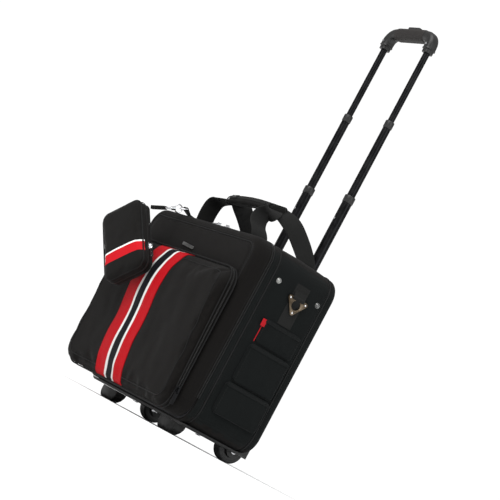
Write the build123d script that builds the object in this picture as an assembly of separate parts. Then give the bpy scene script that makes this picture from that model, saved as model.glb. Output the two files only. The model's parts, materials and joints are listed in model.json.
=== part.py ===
import os

from build123d import *

# Pilot rolling flight case: a soft briefcase on two wheels with a telescopic trolley handle.
# Millimetres. +Z is up, -Y is the front, +X is to the right when the front is seen.
# The origin is on the floor, in the middle of the case's width.

# ---- driving dimensions -------------------------------------------------------------------
CASE_HALF_WIDTH = 208.0
CASE_BOTTOM = 27.0
CASE_TOP = 368.0
CASE_REAR = 130.0
DOOR_SPLIT = -23.0  # the plane of the main zip, between the case and its front door
DOOR_FRONT = -58.0
CORNER_RADIUS = 36.0
WALL = 6.0
GAP = 0.4  # between pieces that only lie beside each other

POCKET_TOP = 297.0
POCKET_BOTTOM = 31.0
POCKET_BELLY = -88.0
POCKET_FOOT = -74.0
POCKET_WALL = 4.0
BELLY_Z = 268.0  # the height at which the pocket stands out furthest
RIBBON_X = -28.0
RIBBON_HALF_WIDTH = 54.0

WHEEL_RADIUS = 26.0
WHEEL_WIDTH = 24.0
WHEEL_X = 151.0
WHEEL_Y = 114.0
AXLE_RADIUS = 4.0
RUNNING_GAP = 0.05
HOUSING_LOW_X = 133.0
HOUSING_HIGH_X = 169.0

TUBE_X = 71.5
TUBE_Y = 141.0
SLEEVE_OUTER = 11.0
LOWER_OUTER = 9.5
MIDDLE_OUTER = 7.75
UPPER_OUTER = 6.25
TUBE_WALL = 1.2
SLIDE_GAP = 0.3
LOWER_TOP = 534.0
MIDDLE_TOP = 692.0
UPPER_TOP = 842.0
COLLAR_HEIGHT = 14.0
STAGE_OVERLAP = 30.0
BEZEL_BOTTOM = 370.3
BEZEL_TOP = 378.0
SLEEVE_BOTTOM = 36.3
SLEEVE_TOP = 370.0
LOCK_PIN_Z = 485.0
LOCK_PIN_RADIUS = 2.1

CHASSIS_BOTTOM = 22.0
COVER_HALF_WIDTH = 98.0
COVER_REAR = 156.0

GRIP_TOP = 885.0
GRIP_HALF_WIDTH = 94.0
GRIP_DEPTH = 27.0
GRIP_BOTTOM = 858.0
SOCKET_BOTTOM = 838.0
SOCKET_STEP = 10.0
SOCKET_DEPTH = 25.0
RUBBER_HALF_WIDTH = 50.0
BUTTON_LOW_X = -22.0
BUTTON_HIGH_X = 14.0
BUTTON_HALF_DEPTH = 5.0
BUTTON_BOTTOM = 874.0
BUTTON_TOP = 889.0
BUTTON_TRAVEL = 3.0

HANDLE_X = 106.0
FRONT_HANDLE_Y = -8.0
REAR_HANDLE_Y = 112.0
STRAP_WIDTH = 36.0
STRAP_THICKNESS = 3.0
WRAP_LOW_X = -64.0
WRAP_HIGH_X = 70.0
PATCH_TOP = 2.2  # how far the patches at the straps' feet stand above the case

POUCH_WIDTH = 92.0
POUCH_HEIGHT = 136.0
POUCH_DEPTH = 38.0
POUCH_CORNER = (-102.2, -150.0, 351.4)  # the front top corner that it hangs by
POUCH_ROLL = 41.0
POUCH_TURN = 15.0
ANCHOR_X = -97.5  # straight above the pouch's middle, so that it hangs as it is drawn
ANCHOR_Y = -58.0
ANCHOR_Z = 376.0
CHAIN_ANGLE = 64.2  # how far the hook leans forward from straight down

FAR = 400.0  # beyond the whole object in any direction, for cutting planes
SIDES = (-1, 1)
nodes = {}


# ---- helpers ------------------------------------------------------------------------------
def block(x, y, z):
    """A box from its low and high limits along each axis."""
    size = [high - low for low, high in (x, y, z)]
    middle = [(high + low) / 2 for low, high in (x, y, z)]
    return Pos(*middle) * Box(*size)


def rounded_slab(half_width, bottom, top, radius, front, rear):
    """A slab with rounded corners when seen from the front."""
    outline = RectangleRounded(2 * half_width, top - bottom, radius)
    plane = Plane(origin=(0, rear, (top + bottom) / 2), x_dir=(1, 0, 0), z_dir=(0, -1, 0))
    return extrude(plane * outline, rear - front)


def rod(radius, start, end):
    """A round bar between two points."""
    axis = Vector(*end) - Vector(*start)
    return extrude(Plane(origin=start, z_dir=axis) * Circle(radius), axis.length)


def tube(radius, bore, start, end):
    return rod(radius, start, end) - rod(bore, start, end)


def side_profile(points, half_width):
    """A solid that is the same across its width, from its outline in Y and Z."""
    face = make_face(Plane.YZ * Polyline(*points, close=True))
    return extrude(face, half_width, both=True)


def front_profile(points, low, high):
    """A solid that is the same from low to high along Y, from its outline in X and Z."""
    plane = Plane(origin=(0, high, 0), x_dir=(1, 0, 0), z_dir=(0, -1, 0))
    face = make_face(plane * Polyline(*points, close=True))
    return extrude(face, high - low, dir=(0, -1, 0))


def both_sides(make):
    """The same piece at the left and at the right, as one group."""
    return Compound(children=[make(side) for side in SIDES])


def wire_loop(points, radius):
    """A closed loop of wire through the points."""
    loop = Pos(*points[0]) * Sphere(radius)
    for start, end in zip(points, points[1:] + points[:1]):
        loop += rod(radius, start, end)
        loop += Pos(*end) * Sphere(radius)
    return loop


def edges_at(solid, axis, place, tolerance=0.5):
    low = place - tolerance
    high = place + tolerance
    return solid.edges().filter_by_position(axis, low, high)


# ---- case body ----------------------------------------------------------------------------
def wheel_well(side):
    """The corner of the case that the wheel housing takes."""
    return block(
        sorted((side * 131.0, side * 173.0)), (82.0, CASE_REAR + 1), (CASE_BOTTOM - 1, 60.0)
    )


def case_shell():
    outer = rounded_slab(
        CASE_HALF_WIDTH, CASE_BOTTOM, CASE_TOP, CORNER_RADIUS, DOOR_SPLIT, CASE_REAR
    )
    outer = fillet(edges_at(outer, Axis.Y, CASE_REAR), 16)
    cavity = rounded_slab(
        CASE_HALF_WIDTH - WALL,
        CASE_BOTTOM + WALL,
        CASE_TOP - WALL,
        CORNER_RADIUS - WALL,
        DOOR_SPLIT - 1,
        CASE_REAR - WALL,
    )
    return outer - cavity


def make_case():
    shell = case_shell()
    for side in SIDES:
        shell -= wheel_well(side)
    corner_top = CASE_TOP - CORNER_RADIUS
    corner_bottom = CASE_BOTTOM + CORNER_RADIUS
    rear_seam = CASE_REAR - WALL - 10.0
    ring = shell & block((-FAR, FAR), (-FAR, rear_seam), (0, FAR))
    nodes["rear_panel"] = shell & block((-FAR, FAR), (rear_seam, FAR), (0, FAR))
    nodes["top_panel"] = ring & block((-FAR, FAR), (-FAR, FAR), (corner_top, FAR))
    nodes["base_panel"] = ring & block((-FAR, FAR), (-FAR, FAR), (0, corner_bottom))
    for side, name in zip(SIDES, ("left_side_panel", "right_side_panel")):
        half = block(sorted((0, side * FAR)), (-FAR, FAR), (corner_bottom, corner_top))
        nodes[name] = ring & half

    outline = rounded_slab(200.0, CHASSIS_BOTTOM, 80.0, 20.0, -14.0, 128.0)
    chassis = outline & block((-FAR, FAR), (-FAR, FAR), (CHASSIS_BOTTOM, CASE_BOTTOM - GAP))
    for side in SIDES:
        chassis -= block(sorted((side * 130.0, side * 174.0)), (52.0, FAR), (0, FAR))
    nodes["chassis_plate"] = chassis


def make_trolley_back():
    """The raised channel behind the case that the trolley's sleeves run in."""
    cover = rounded_slab(COVER_HALF_WIDTH, 34.0, SLEEVE_TOP, 14.0, CASE_REAR + GAP, COVER_REAR)
    cover = fillet(edges_at(cover, Axis.Y, COVER_REAR), 8)
    for side in SIDES:
        x = side * TUBE_X
        cover -= rod(SLEEVE_OUTER + GAP, (x, TUBE_Y, SLEEVE_BOTTOM - 0.3), (x, TUBE_Y, FAR))
    nodes["trolley_back_cover"] = cover - block((-54.0, 54.0), (134.0, 151.0), (40.0, 364.0))

    def sleeve(side):
        x = side * TUBE_X
        bore = LOWER_OUTER + SLIDE_GAP
        foot = (x, TUBE_Y, SLEEVE_BOTTOM)
        body = tube(SLEEVE_OUTER, bore, foot, (x, TUBE_Y, SLEEVE_TOP))
        return body + rod(SLEEVE_OUTER, foot, (x, TUBE_Y, SLEEVE_BOTTOM + 3.7))

    nodes["trolley_sleeves"] = both_sides(sleeve)

    plate = extrude(RectangleRounded(190.0, 26.0, 9.0), BEZEL_TOP - BEZEL_BOTTOM)
    bezel = Pos(0, TUBE_Y + 1.0, BEZEL_BOTTOM) * plate
    bezel = fillet(edges_at(bezel, Axis.Z, BEZEL_TOP), 2)
    for side in SIDES:
        x = side * TUBE_X
        bore = LOWER_OUTER + SLIDE_GAP
        bezel -= rod(bore, (x, TUBE_Y, 360.0), (x, TUBE_Y, 390.0))
    nodes["trolley_bezel"] = bezel


# ---- wheels and feet ----------------------------------------------------------------------
def wheel_rod(radius, low_x=-FAR, high_x=FAR):
    """A round bar along the wheels' axis."""
    return rod(radius, (low_x, WHEEL_Y, WHEEL_RADIUS), (high_x, WHEEL_Y, WHEEL_RADIUS))


def make_wheel(side, word):
    inner = side * (WHEEL_X - WHEEL_WIDTH / 2)
    outer = side * (WHEEL_X + WHEEL_WIDTH / 2)
    dish = outer - side * 5.0
    rim = wheel_rod(WHEEL_RADIUS - 6.0, inner, outer)
    tyre = wheel_rod(WHEEL_RADIUS, inner, outer)
    circles = tyre.edges().filter_by(GeomType.CIRCLE)
    nodes[f"{word}_wheel_tyre"] = fillet(circles, 4) - rim

    hub = rim - wheel_rod(14.0, dish, outer) + wheel_rod(7.0, dish, outer)
    nodes[f"{word}_wheel_hub"] = hub - wheel_rod(AXLE_RADIUS + RUNNING_GAP, inner, outer)


def make_wheel_housing(side, word):
    """The moulded housing: a front foot, an arch over the wheel and an ear on each side of it."""
    arch_front = 82.5
    arch_top = 59.0
    plate_top = CHASSIS_BOTTOM - GAP
    outline = [
        (56.0, plate_top),
        (56.0, CASE_BOTTOM),
        (arch_front, CASE_BOTTOM),
        (arch_front, arch_top),
        (144.0, arch_top),
        (144.0, plate_top),
    ]
    square_front = block((-FAR, FAR), (50.0, WHEEL_Y), (0, 80.0))
    body = side_profile(outline, FAR) & (wheel_rod(arch_top - WHEEL_RADIUS) + square_front)
    body += wheel_rod(14.0) & block((-FAR, FAR), (50.0, 200.0), (12.0, 40.0))

    low_x = HOUSING_LOW_X
    high_x = HOUSING_HIGH_X
    body &= block(sorted((side * low_x, side * high_x)), (0, 200.0), (0, 80.0))
    room = WHEEL_RADIUS + 2.5
    slot = wheel_rod(room)
    slot += block((-FAR, FAR), (WHEEL_Y - room, WHEEL_Y + room), (0, WHEEL_RADIUS))
    slot += block((-FAR, FAR), (WHEEL_Y, 200.0), (0, WHEEL_RADIUS + 8.0))
    cheek = 4.0
    well = sorted((side * (low_x + cheek), side * (high_x - cheek)))
    body -= slot & block(well, (0, 200.0), (0, 80.0))
    nodes[f"{word}_wheel_housing"] = body - wheel_rod(AXLE_RADIUS)


def make_running_gear():
    for side, word in zip(SIDES, ("left", "right")):
        make_wheel(side, word)
        make_wheel_housing(side, word)

    def axle(side):
        head_start = HOUSING_HIGH_X + 0.3
        pin = wheel_rod(AXLE_RADIUS, side * (HOUSING_LOW_X - 0.4), side * (head_start + 0.3))
        return pin + wheel_rod(6.5, side * head_start, side * (head_start + 2.3))

    nodes["wheel_axles"] = both_sides(axle)

    def foot(side):
        half = 30.0
        top = CHASSIS_BOTTOM - GAP
        outline = [(-6.0, 0), (8.0, 0), (14.0, 5.0), (17.0, 12.0), (17.0, top), (-6.0, top)]
        skid = side_profile(outline, half)
        return Pos(side * 122.0, 0, 0) * fillet(edges_at(skid, Axis.X, side * half), 1.5)

    nodes["front_feet"] = both_sides(foot)

    screws = []
    for x in (-40.0, 40.0):
        for y in (10.0, 112.0):
            screws.append(rod(5.0, (x, y, CHASSIS_BOTTOM - 2.2), (x, y, CHASSIS_BOTTOM)))
    nodes["chassis_screws"] = Compound(children=screws)


# ---- trolley handle -----------------------------------------------------------------------
def make_trolley():
    stages = (
        ("lower", LOWER_OUTER, LOWER_TOP, 204.0),
        ("middle", MIDDLE_OUTER, MIDDLE_TOP, 372.0),
        ("upper", UPPER_OUTER, UPPER_TOP, 540.0),
    )
    for name, radius, top, bottom in stages:
        collar_bottom = top - COLLAR_HEIGHT

        def stage(side):
            x = side * TUBE_X
            body = tube(radius, radius - TUBE_WALL, (x, TUBE_Y, bottom), (x, TUBE_Y, top))
            if name == "lower":
                hole = rod(LOCK_PIN_RADIUS + 0.1, (x, TUBE_Y, LOCK_PIN_Z), (x, 0, LOCK_PIN_Z))
                body -= hole
            return body

        def collar(side):
            x = side * TUBE_X
            body = tube(radius + 1.6, radius, (x, TUBE_Y, collar_bottom), (x, TUBE_Y, top))
            return chamfer(edges_at(body, Axis.Z, top).sort_by(Axis.X)[:1], 0.5)

        nodes[f"{name}_tubes"] = both_sides(stage)
        if name != "upper":
            nodes[f"{name}_collars"] = both_sides(collar)

    def lock_pin(side):
        x = side * TUBE_X
        outside = TUBE_Y - LOWER_OUTER
        start = (x, outside + TUBE_WALL, LOCK_PIN_Z)
        return rod(LOCK_PIN_RADIUS, start, (x, outside - RUNNING_GAP, LOCK_PIN_Z))

    nodes["lock_pins"] = both_sides(lock_pin)

    step_z = SOCKET_BOTTOM + SOCKET_STEP

    def socket(side):
        x = side * TUBE_X
        neck = extrude(RectangleRounded(25.0, 21.0, 9.0), SOCKET_STEP)
        shoulder = extrude(RectangleRounded(31.0, SOCKET_DEPTH, 9.0), GRIP_BOTTOM + 2.0 - step_z)
        body = Pos(x, TUBE_Y, SOCKET_BOTTOM) * neck + Pos(x, TUBE_Y, step_z) * shoulder
        return body - rod(UPPER_OUTER, (x, TUBE_Y, 0), (x, TUBE_Y, UPPER_TOP))

    def grip_screw(side):
        x = side * TUBE_X
        z = step_z + 5.0
        face = TUBE_Y - SOCKET_DEPTH / 2
        return rod(2.6, (x, face, z), (x, face - 0.8, z))

    nodes["grip_screws"] = both_sides(grip_screw)

    bar = front_profile(
        [
            (-GRIP_HALF_WIDTH, GRIP_BOTTOM),
            (-GRIP_HALF_WIDTH, GRIP_BOTTOM + 10.0),
            (-80.0, GRIP_TOP - 1.0),
            (-60.0, GRIP_TOP),
            (60.0, GRIP_TOP),
            (80.0, GRIP_TOP - 1.0),
            (GRIP_HALF_WIDTH, GRIP_BOTTOM + 10.0),
            (GRIP_HALF_WIDTH, GRIP_BOTTOM),
        ],
        TUBE_Y - GRIP_DEPTH / 2,
        TUBE_Y + GRIP_DEPTH / 2,
    )
    bar = fillet(bar.edges(), 3)
    rubber_end = RUBBER_HALF_WIDTH
    ends = bar - block((-rubber_end - 0.2, rubber_end + 0.2), (0, FAR), (0, 2 * FAR + 100.0))
    for side in SIDES:
        ends += socket(side)
    spine_end = rubber_end + 1.0
    spine = block(
        (-spine_end, spine_end), (TUBE_Y - 9.0, TUBE_Y + 9.0), (GRIP_BOTTOM + 3.0, GRIP_TOP - 7.0)
    )
    button_hole = block(
        (BUTTON_LOW_X - GAP, BUTTON_HIGH_X + GAP),
        (TUBE_Y - BUTTON_HALF_DEPTH - GAP, TUBE_Y + BUTTON_HALF_DEPTH + GAP),
        (BUTTON_BOTTOM - BUTTON_TRAVEL - 1.5, BUTTON_TOP),
    )
    spine -= button_hole
    nodes["grip_frame"] = ends + spine
    middle = bar & block((-rubber_end, rubber_end), (0, FAR), (0, 2 * FAR + 100.0))
    nodes["grip_rubber"] = middle - spine - button_hole
    button = block(
        (BUTTON_LOW_X, BUTTON_HIGH_X),
        (TUBE_Y - BUTTON_HALF_DEPTH, TUBE_Y + BUTTON_HALF_DEPTH),
        (BUTTON_BOTTOM, BUTTON_TOP),
    )
    nodes["grip_button"] = fillet(edges_at(button, Axis.Z, BUTTON_TOP), 1.5)


# ---- carry handles ------------------------------------------------------------------------
def webbing_arch(points, lean, base_y):
    """A flat strap that follows points in X and Z, leaning about the line of its feet."""
    line = FilletPolyline(*points, radius=12)
    outline = offset(line, STRAP_THICKNESS, side=Side.LEFT, closed=True)
    plane = Plane(origin=(0, 0, 0), x_dir=(1, 0, 0), z_dir=(0, -1, 0))
    arch = extrude(plane * make_face(outline), STRAP_WIDTH / 2, both=True)
    arch = Pos(0, base_y, CASE_TOP) * Rot(lean, 0, 0) * arch
    return arch - block((-FAR, FAR), (-FAR, FAR), (0, CASE_TOP + PATCH_TOP))


def make_carry_handles():
    grip_box = block((WRAP_LOW_X, WRAP_HIGH_X), (-2.0, 38.0), (430.0, 452.0))
    nodes["handle_wrap"] = fillet(grip_box.edges().filter_by(Axis.X), 9)
    room = block((WRAP_LOW_X - GAP, WRAP_HIGH_X + GAP), (-FAR, FAR), (0, 2 * FAR))
    front_points = [
        (-HANDLE_X, -20.0),
        (-104.0, 38.0),
        (-84.0, 62.0),
        (80.0, 62.0),
        (96.0, 40.0),
        (HANDLE_X, -20.0),
    ]
    rear_points = [
        (-HANDLE_X, -20.0),
        (-96.0, 50.0),
        (-82.0, 100.0),
        (82.0, 100.0),
        (95.0, 50.0),
        (HANDLE_X, -20.0),
    ]
    nodes["front_carry_strap"] = webbing_arch(front_points, -14.0, FRONT_HANDLE_Y) - room
    nodes["rear_carry_strap"] = webbing_arch(rear_points, 52.0, REAR_HANDLE_Y) - room

    def patch(side):
        children = []
        for y in (FRONT_HANDLE_Y + 8.0, REAR_HANDLE_Y - 22.0):
            pad = extrude(RectangleRounded(34.0, 46.0, 4.0), PATCH_TOP - 0.3)
            children.append(Pos(side * HANDLE_X, y, CASE_TOP + 0.2) * pad)
        return Compound(children=children)

    nodes["strap_patches"] = both_sides(patch)


# ---- front door and its pocket ------------------------------------------------------------
def make_door():
    outer = rounded_slab(
        CASE_HALF_WIDTH, POCKET_BOTTOM, CASE_TOP - 1.0, CORNER_RADIUS, DOOR_FRONT, DOOR_SPLIT - GAP
    )
    outer = fillet(edges_at(outer, Axis.Y, DOOR_FRONT), 12)
    hollow = rounded_slab(
        CASE_HALF_WIDTH - WALL,
        POCKET_BOTTOM + WALL,
        CASE_TOP - 1.0 - WALL,
        CORNER_RADIUS - WALL,
        DOOR_FRONT + WALL,
        DOOR_SPLIT,
    )
    nodes["front_door"] = outer - hollow

    def pocket_solid(inset):
        side = side_profile(
            [
                (DOOR_FRONT - GAP, POCKET_BOTTOM + inset),
                (POCKET_FOOT + inset, POCKET_BOTTOM + inset),
                (POCKET_BELLY + inset, BELLY_Z),
                (POCKET_BELLY + 8.0 + inset, POCKET_TOP - inset),
                (DOOR_FRONT - GAP, POCKET_TOP - inset),
            ],
            FAR,
        )
        face = rounded_slab(
            CASE_HALF_WIDTH - 2.0 - inset,
            POCKET_BOTTOM + inset,
            POCKET_TOP - inset,
            CORNER_RADIUS - inset,
            -FAR,
            0,
        )
        return side & face

    nodes["front_pocket"] = pocket_solid(0) - pocket_solid(POCKET_WALL)

    ribbon = side_profile(
        [
            (POCKET_FOOT - 0.2, POCKET_BOTTOM + 1.0),
            (POCKET_BELLY - 0.2, BELLY_Z),
            (POCKET_BELLY + 6.2, POCKET_TOP - 4.0),
            (POCKET_BELLY + 5.0, POCKET_TOP - 4.0),
            (POCKET_BELLY - 1.4, BELLY_Z),
            (POCKET_FOOT - 1.4, POCKET_BOTTOM + 1.0),
        ],
        RIBBON_HALF_WIDTH,
    )
    nodes["striped_ribbon"] = Pos(RIBBON_X, 0, 0) * ribbon
    tag = front_profile([(-42.0, 318.0), (-42.0, 309.0), (8.0, 305.0), (8.0, 314.0)], -61.0, -58.5)
    nodes["front_tag"] = fillet(tag.edges().filter_by(Axis.Y), 2)


# ---- zips ---------------------------------------------------------------------------------
BRIDGE_HEIGHT = 5.8  # of the pull's bar above the foot of the slider
PULL_BAR = 0.6


def slider_body():
    """A zip slider that runs along X over a tape that faces +Z."""
    body = Box(13.0, 9.0, 4.0, align=(Align.CENTER, Align.CENTER, Align.MIN))
    body = fillet(body.edges().filter_by(Axis.Z), 2)
    bridge = Pos(0, 0, 4.0) * Box(9.0, 3.0, 4.2, align=(Align.CENTER, Align.CENTER, Align.MIN))
    return body + bridge - Pos(0, 0, BRIDGE_HEIGHT) * Box(4.4, 20.0, 2.2)


def slider_pull(length, droop):
    """A flat pull that lies along +X, with its bar at the origin."""
    plate = Box(length, 7.0, 1.2, align=(Align.MIN, Align.CENTER, Align.CENTER))
    plate = fillet(plate.edges().filter_by(Axis.Z), 2.5)
    plate -= block((-1.0, 6.5), (-1.9, 1.9), (-2.0, 2.0))
    plate -= Pos(length - 5.0, 0, 0) * Box(5.0, 3.0, 3.0)
    plate -= block((-1.0, 0), (-5.0, 5.0), (-2.0, 2.0))
    bar = rod(PULL_BAR, (0, -3.4, 0), (0, 3.4, 0))
    return Rot(0, droop, 0) * (plate + bar)


def make_zips():
    bar = Pos(0, 0, BRIDGE_HEIGHT)
    for x, word, turn in ((-14.0, "left", 180.0), (18.0, "right", 0.0)):
        place = Pos(x, DOOR_SPLIT - 3.0, CASE_TOP + 0.3) * Rot(0, 0, turn)
        nodes[f"{word}_zip_slider"] = place * slider_body()
        nodes[f"{word}_zip_pull"] = place * bar * slider_pull(26.0, 8.0)

    on_gusset = Pos(CASE_HALF_WIDTH - 1.7, -66.0, 70.0) * Rot(0, 90, 0)
    nodes["pocket_zip_slider"] = on_gusset * slider_body()
    nodes["pocket_zip_pull"] = on_gusset * bar * slider_pull(26.0, 0.0)


# ---- side fittings ------------------------------------------------------------------------
def make_sides():
    face = CASE_HALF_WIDTH + GAP

    def pocket(low_y, high_y, low_z, high_z, thick):
        def one(side):
            outer = side * (face + thick)
            body = block(sorted((side * face, outer)), (low_y, high_y), (low_z, high_z))
            return fillet(edges_at(body, Axis.X, outer), 3.0)

        return both_sides(one)

    nodes["upper_side_pockets"] = pocket(20.0, 104.0, 204.0, 250.0, 4.6)
    nodes["middle_side_pockets"] = pocket(16.0, 106.0, 128.0, 201.0, 6.4)
    nodes["lower_side_pockets"] = pocket(10.0, 108.0, 66.0, 125.0, 7.4)

    ring_x = face + 4.4
    ring_top = 305.0

    def ring_tab(side):
        x = side * ring_x
        flap = block(sorted((side * face, side * (face + 1.4))), (44.0, 74.0), (252.0, 330.0))
        return flap + tube(3.2, 2.4, (x, 46.0, ring_top), (x, 72.0, ring_top))

    nodes["ring_tabs"] = both_sides(ring_tab)
    for side, word in zip(SIDES, ("left", "right")):
        outline = [(39.0, ring_top), (79.0, ring_top), (66.0, 280.0), (52.0, 280.0)]
        nodes[f"{word}_d_ring"] = wire_loop([(side * ring_x, y, z) for y, z in outline], 2.0)

    def rivets(side):
        group = []
        for y, z in ((8.5, 316.0), (101.0, 314.0)):
            flange = rod(5.0, (side * face, y, z), (side * (face + 1.2), y, z))
            group.append(flange + rod(3.2, (side * face, y, z), (side * (face + 2.6), y, z)))
        return Compound(children=group)

    nodes["side_rivets"] = both_sides(rivets)


# ---- hanging pouch ------------------------------------------------------------------------
def make_pouch():
    place = Pos(*POUCH_CORNER) * Rot(0, 0, POUCH_TURN) * Rot(0, -POUCH_ROLL, 0)
    body = Box(POUCH_WIDTH, POUCH_DEPTH, POUCH_HEIGHT, align=(Align.MAX, Align.MIN, Align.MAX))
    pouch = place * fillet(body.edges(), 12)
    nodes["pouch"] = pouch

    on_gusset = place * Pos(0.3, POUCH_DEPTH / 2, 16.0 - POUCH_HEIGHT) * Rot(0, 90, 0)
    nodes["pouch_zip_slider"] = on_gusset * Pos(-18.0, 0, 0) * slider_body()
    pull_place = on_gusset * Pos(-18.0, 0, BRIDGE_HEIGHT)
    nodes["pouch_zip_pull"] = pull_place * slider_pull(22.0, 0.0)

    anchor = side_profile(
        [
            (-30.0, CASE_TOP - 0.6),
            (-30.0, CASE_TOP + 1.6),
            (-45.0, CASE_TOP + 2.6),
            (ANCHOR_Y + 1.0, ANCHOR_Z + 3.4),
            (ANCHOR_Y - 1.0, ANCHOR_Z - 3.4),
            (-46.0, CASE_TOP - 0.6),
        ],
        5.0,
    )
    anchor += rod(3.4, (-5.0, ANCHOR_Y, ANCHOR_Z), (5.0, ANCHOR_Y, ANCHOR_Z))
    anchor -= rod(1.7, (-9.0, ANCHOR_Y, ANCHOR_Z), (9.0, ANCHOR_Y, ANCHOR_Z))
    nodes["pouch_anchor"] = Pos(ANCHOR_X, 0, 0) * anchor

    # Below, -Z runs from the anchor's bar towards the pouch.
    chain = Pos(ANCHOR_X, ANCHOR_Y, ANCHOR_Z) * Rot(-CHAIN_ANGLE, 0, 0)
    half_ring = [(7.0, 0, 0), (7.0, 0, -5.0), (4.0, 0, -10.2)]
    other_half = [(-x, y, z) for x, y, z in reversed(half_ring)]
    nodes["pouch_ring"] = chain * wire_loop(half_ring + other_half, 1.2)
    hook = Pos(0, 0, -15.2) * Rot(0, 90, 0) * Torus(7.6, 1.2)
    barrel = rod(3.6, (0, 0, -22.0), (0, 0, -31.0)) - rod(1.85, (0, 0, -25.0), (0, 0, -32.0))
    nodes["snap_hook"] = chain * (hook + barrel)
    eye = rod(1.8, (0, 0, -25.2), (0, 0, -34.0))
    eye += wire_loop([(-6.0, 0, -34.0), (6.0, 0, -34.0), (6.0, 0, -43.5), (-6.0, 0, -43.5)], 1.3)
    nodes["swivel_eye"] = chain * eye
    loop = block((-4.5, 4.5), (-3.4, 3.4), (-70.0, -40.2))
    loop = fillet(edges_at(loop, Axis.Z, -40.2).filter_by(Axis.X), 3)
    loop -= rod(1.7, (-9.0, 0, -43.5), (9.0, 0, -43.5))
    nodes["pouch_loop"] = chain * loop - pouch


make_case()
make_trolley_back()
make_running_gear()
make_trolley()
make_carry_handles()
make_door()
make_zips()
make_sides()
make_pouch()

os.makedirs("parts", exist_ok=True)
for name, shape in nodes.items():
    export_step(shape, f"parts/{name}.step")
print(len(nodes), "nodes")
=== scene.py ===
import json
import math

import bmesh
import bpy
from mathutils import Matrix, Vector, noise

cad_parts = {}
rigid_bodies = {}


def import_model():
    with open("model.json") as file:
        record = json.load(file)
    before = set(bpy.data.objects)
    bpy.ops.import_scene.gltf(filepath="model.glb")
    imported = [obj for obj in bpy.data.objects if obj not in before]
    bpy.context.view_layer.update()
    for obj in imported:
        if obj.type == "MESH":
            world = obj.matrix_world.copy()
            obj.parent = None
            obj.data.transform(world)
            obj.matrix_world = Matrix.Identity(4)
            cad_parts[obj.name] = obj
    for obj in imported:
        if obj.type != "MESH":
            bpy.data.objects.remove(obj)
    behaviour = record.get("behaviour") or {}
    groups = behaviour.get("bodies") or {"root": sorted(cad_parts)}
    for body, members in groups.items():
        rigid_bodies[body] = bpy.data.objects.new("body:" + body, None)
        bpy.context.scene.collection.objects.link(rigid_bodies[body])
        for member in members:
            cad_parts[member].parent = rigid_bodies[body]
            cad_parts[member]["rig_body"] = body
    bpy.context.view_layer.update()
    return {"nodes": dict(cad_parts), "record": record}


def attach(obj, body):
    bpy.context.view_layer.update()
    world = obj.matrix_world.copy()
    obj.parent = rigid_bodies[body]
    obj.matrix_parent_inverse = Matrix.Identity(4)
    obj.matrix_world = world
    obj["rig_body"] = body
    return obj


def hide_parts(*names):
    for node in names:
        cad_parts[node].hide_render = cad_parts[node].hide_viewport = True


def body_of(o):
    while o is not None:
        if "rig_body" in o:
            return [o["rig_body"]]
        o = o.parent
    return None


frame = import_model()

# The looks of a pilot rolling flight case: black nylon, red and white ribbon, trolley handle.
# Metres. +Z is up and -Y is the front, as in the frame.

NODE_SLOTS = {part["node"]: part["material_slot"] for part in frame["record"]["subparts"]}
SIDES = (-1, 1)
SIDE_WORDS = ((-1, "left"), (1, "right"))
MM = 0.001


# ---- camera, light and floor --------------------------------------------------------------
CAMERA_AZIMUTH = math.radians(60.39)
CAMERA_ELEVATION = math.radians(-6.45)
CAMERA_ROLL = math.radians(-28.29)
CAMERA_DISTANCE = 3.02
CAMERA_TARGET = Vector((0.0556, 0.0167, 0.3544))
CAMERA_LENS = 121.4
FILL_STRENGTH = 0.55
BACKDROP_STRENGTH = 1.05
SUN_STRENGTH = 2.2
SUN_SPREAD = math.radians(50)
SUN_TURN = (math.radians(28), math.radians(14), 0)
LIGHT_TARGET = (0, 0, 0.3)
FLOOR_SIZE = 90


def make_camera():
    toward = Vector(
        (
            math.sin(CAMERA_AZIMUTH) * math.cos(CAMERA_ELEVATION),
            -math.cos(CAMERA_AZIMUTH) * math.cos(CAMERA_ELEVATION),
            math.sin(CAMERA_ELEVATION),
        )
    )
    level = Vector((math.cos(CAMERA_AZIMUTH), math.sin(CAMERA_AZIMUTH), 0))
    above = toward.cross(level)
    right = level * math.cos(CAMERA_ROLL) - above * math.sin(CAMERA_ROLL)
    up = level * math.sin(CAMERA_ROLL) + above * math.cos(CAMERA_ROLL)
    camera = bpy.data.objects.new("camera", bpy.data.cameras.new("camera"))
    bpy.context.scene.collection.objects.link(camera)
    turn = Matrix((right, up, toward)).transposed().to_4x4()
    camera.matrix_world = Matrix.Translation(CAMERA_TARGET + toward * CAMERA_DISTANCE) @ turn
    camera.data.lens = CAMERA_LENS
    camera.data.clip_end = 100
    bpy.context.scene.camera = camera


def add_light(name, kind, energy):
    data = bpy.data.lights.new(name, kind)
    data.energy = energy
    light = bpy.data.objects.new(name, data)
    bpy.context.scene.collection.objects.link(light)
    return light


def area_light(name, place, size, power, tint):
    """A soft box that faces the middle of the case."""
    light = add_light(name, "AREA", power)
    light.data.shape = "RECTANGLE"
    light.data.size, light.data.size_y = size
    light.data.color = tint
    light.location = place
    aim = Vector(LIGHT_TARGET) - Vector(place)
    light.rotation_euler = aim.to_track_quat("-Z", "Y").to_euler()


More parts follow.
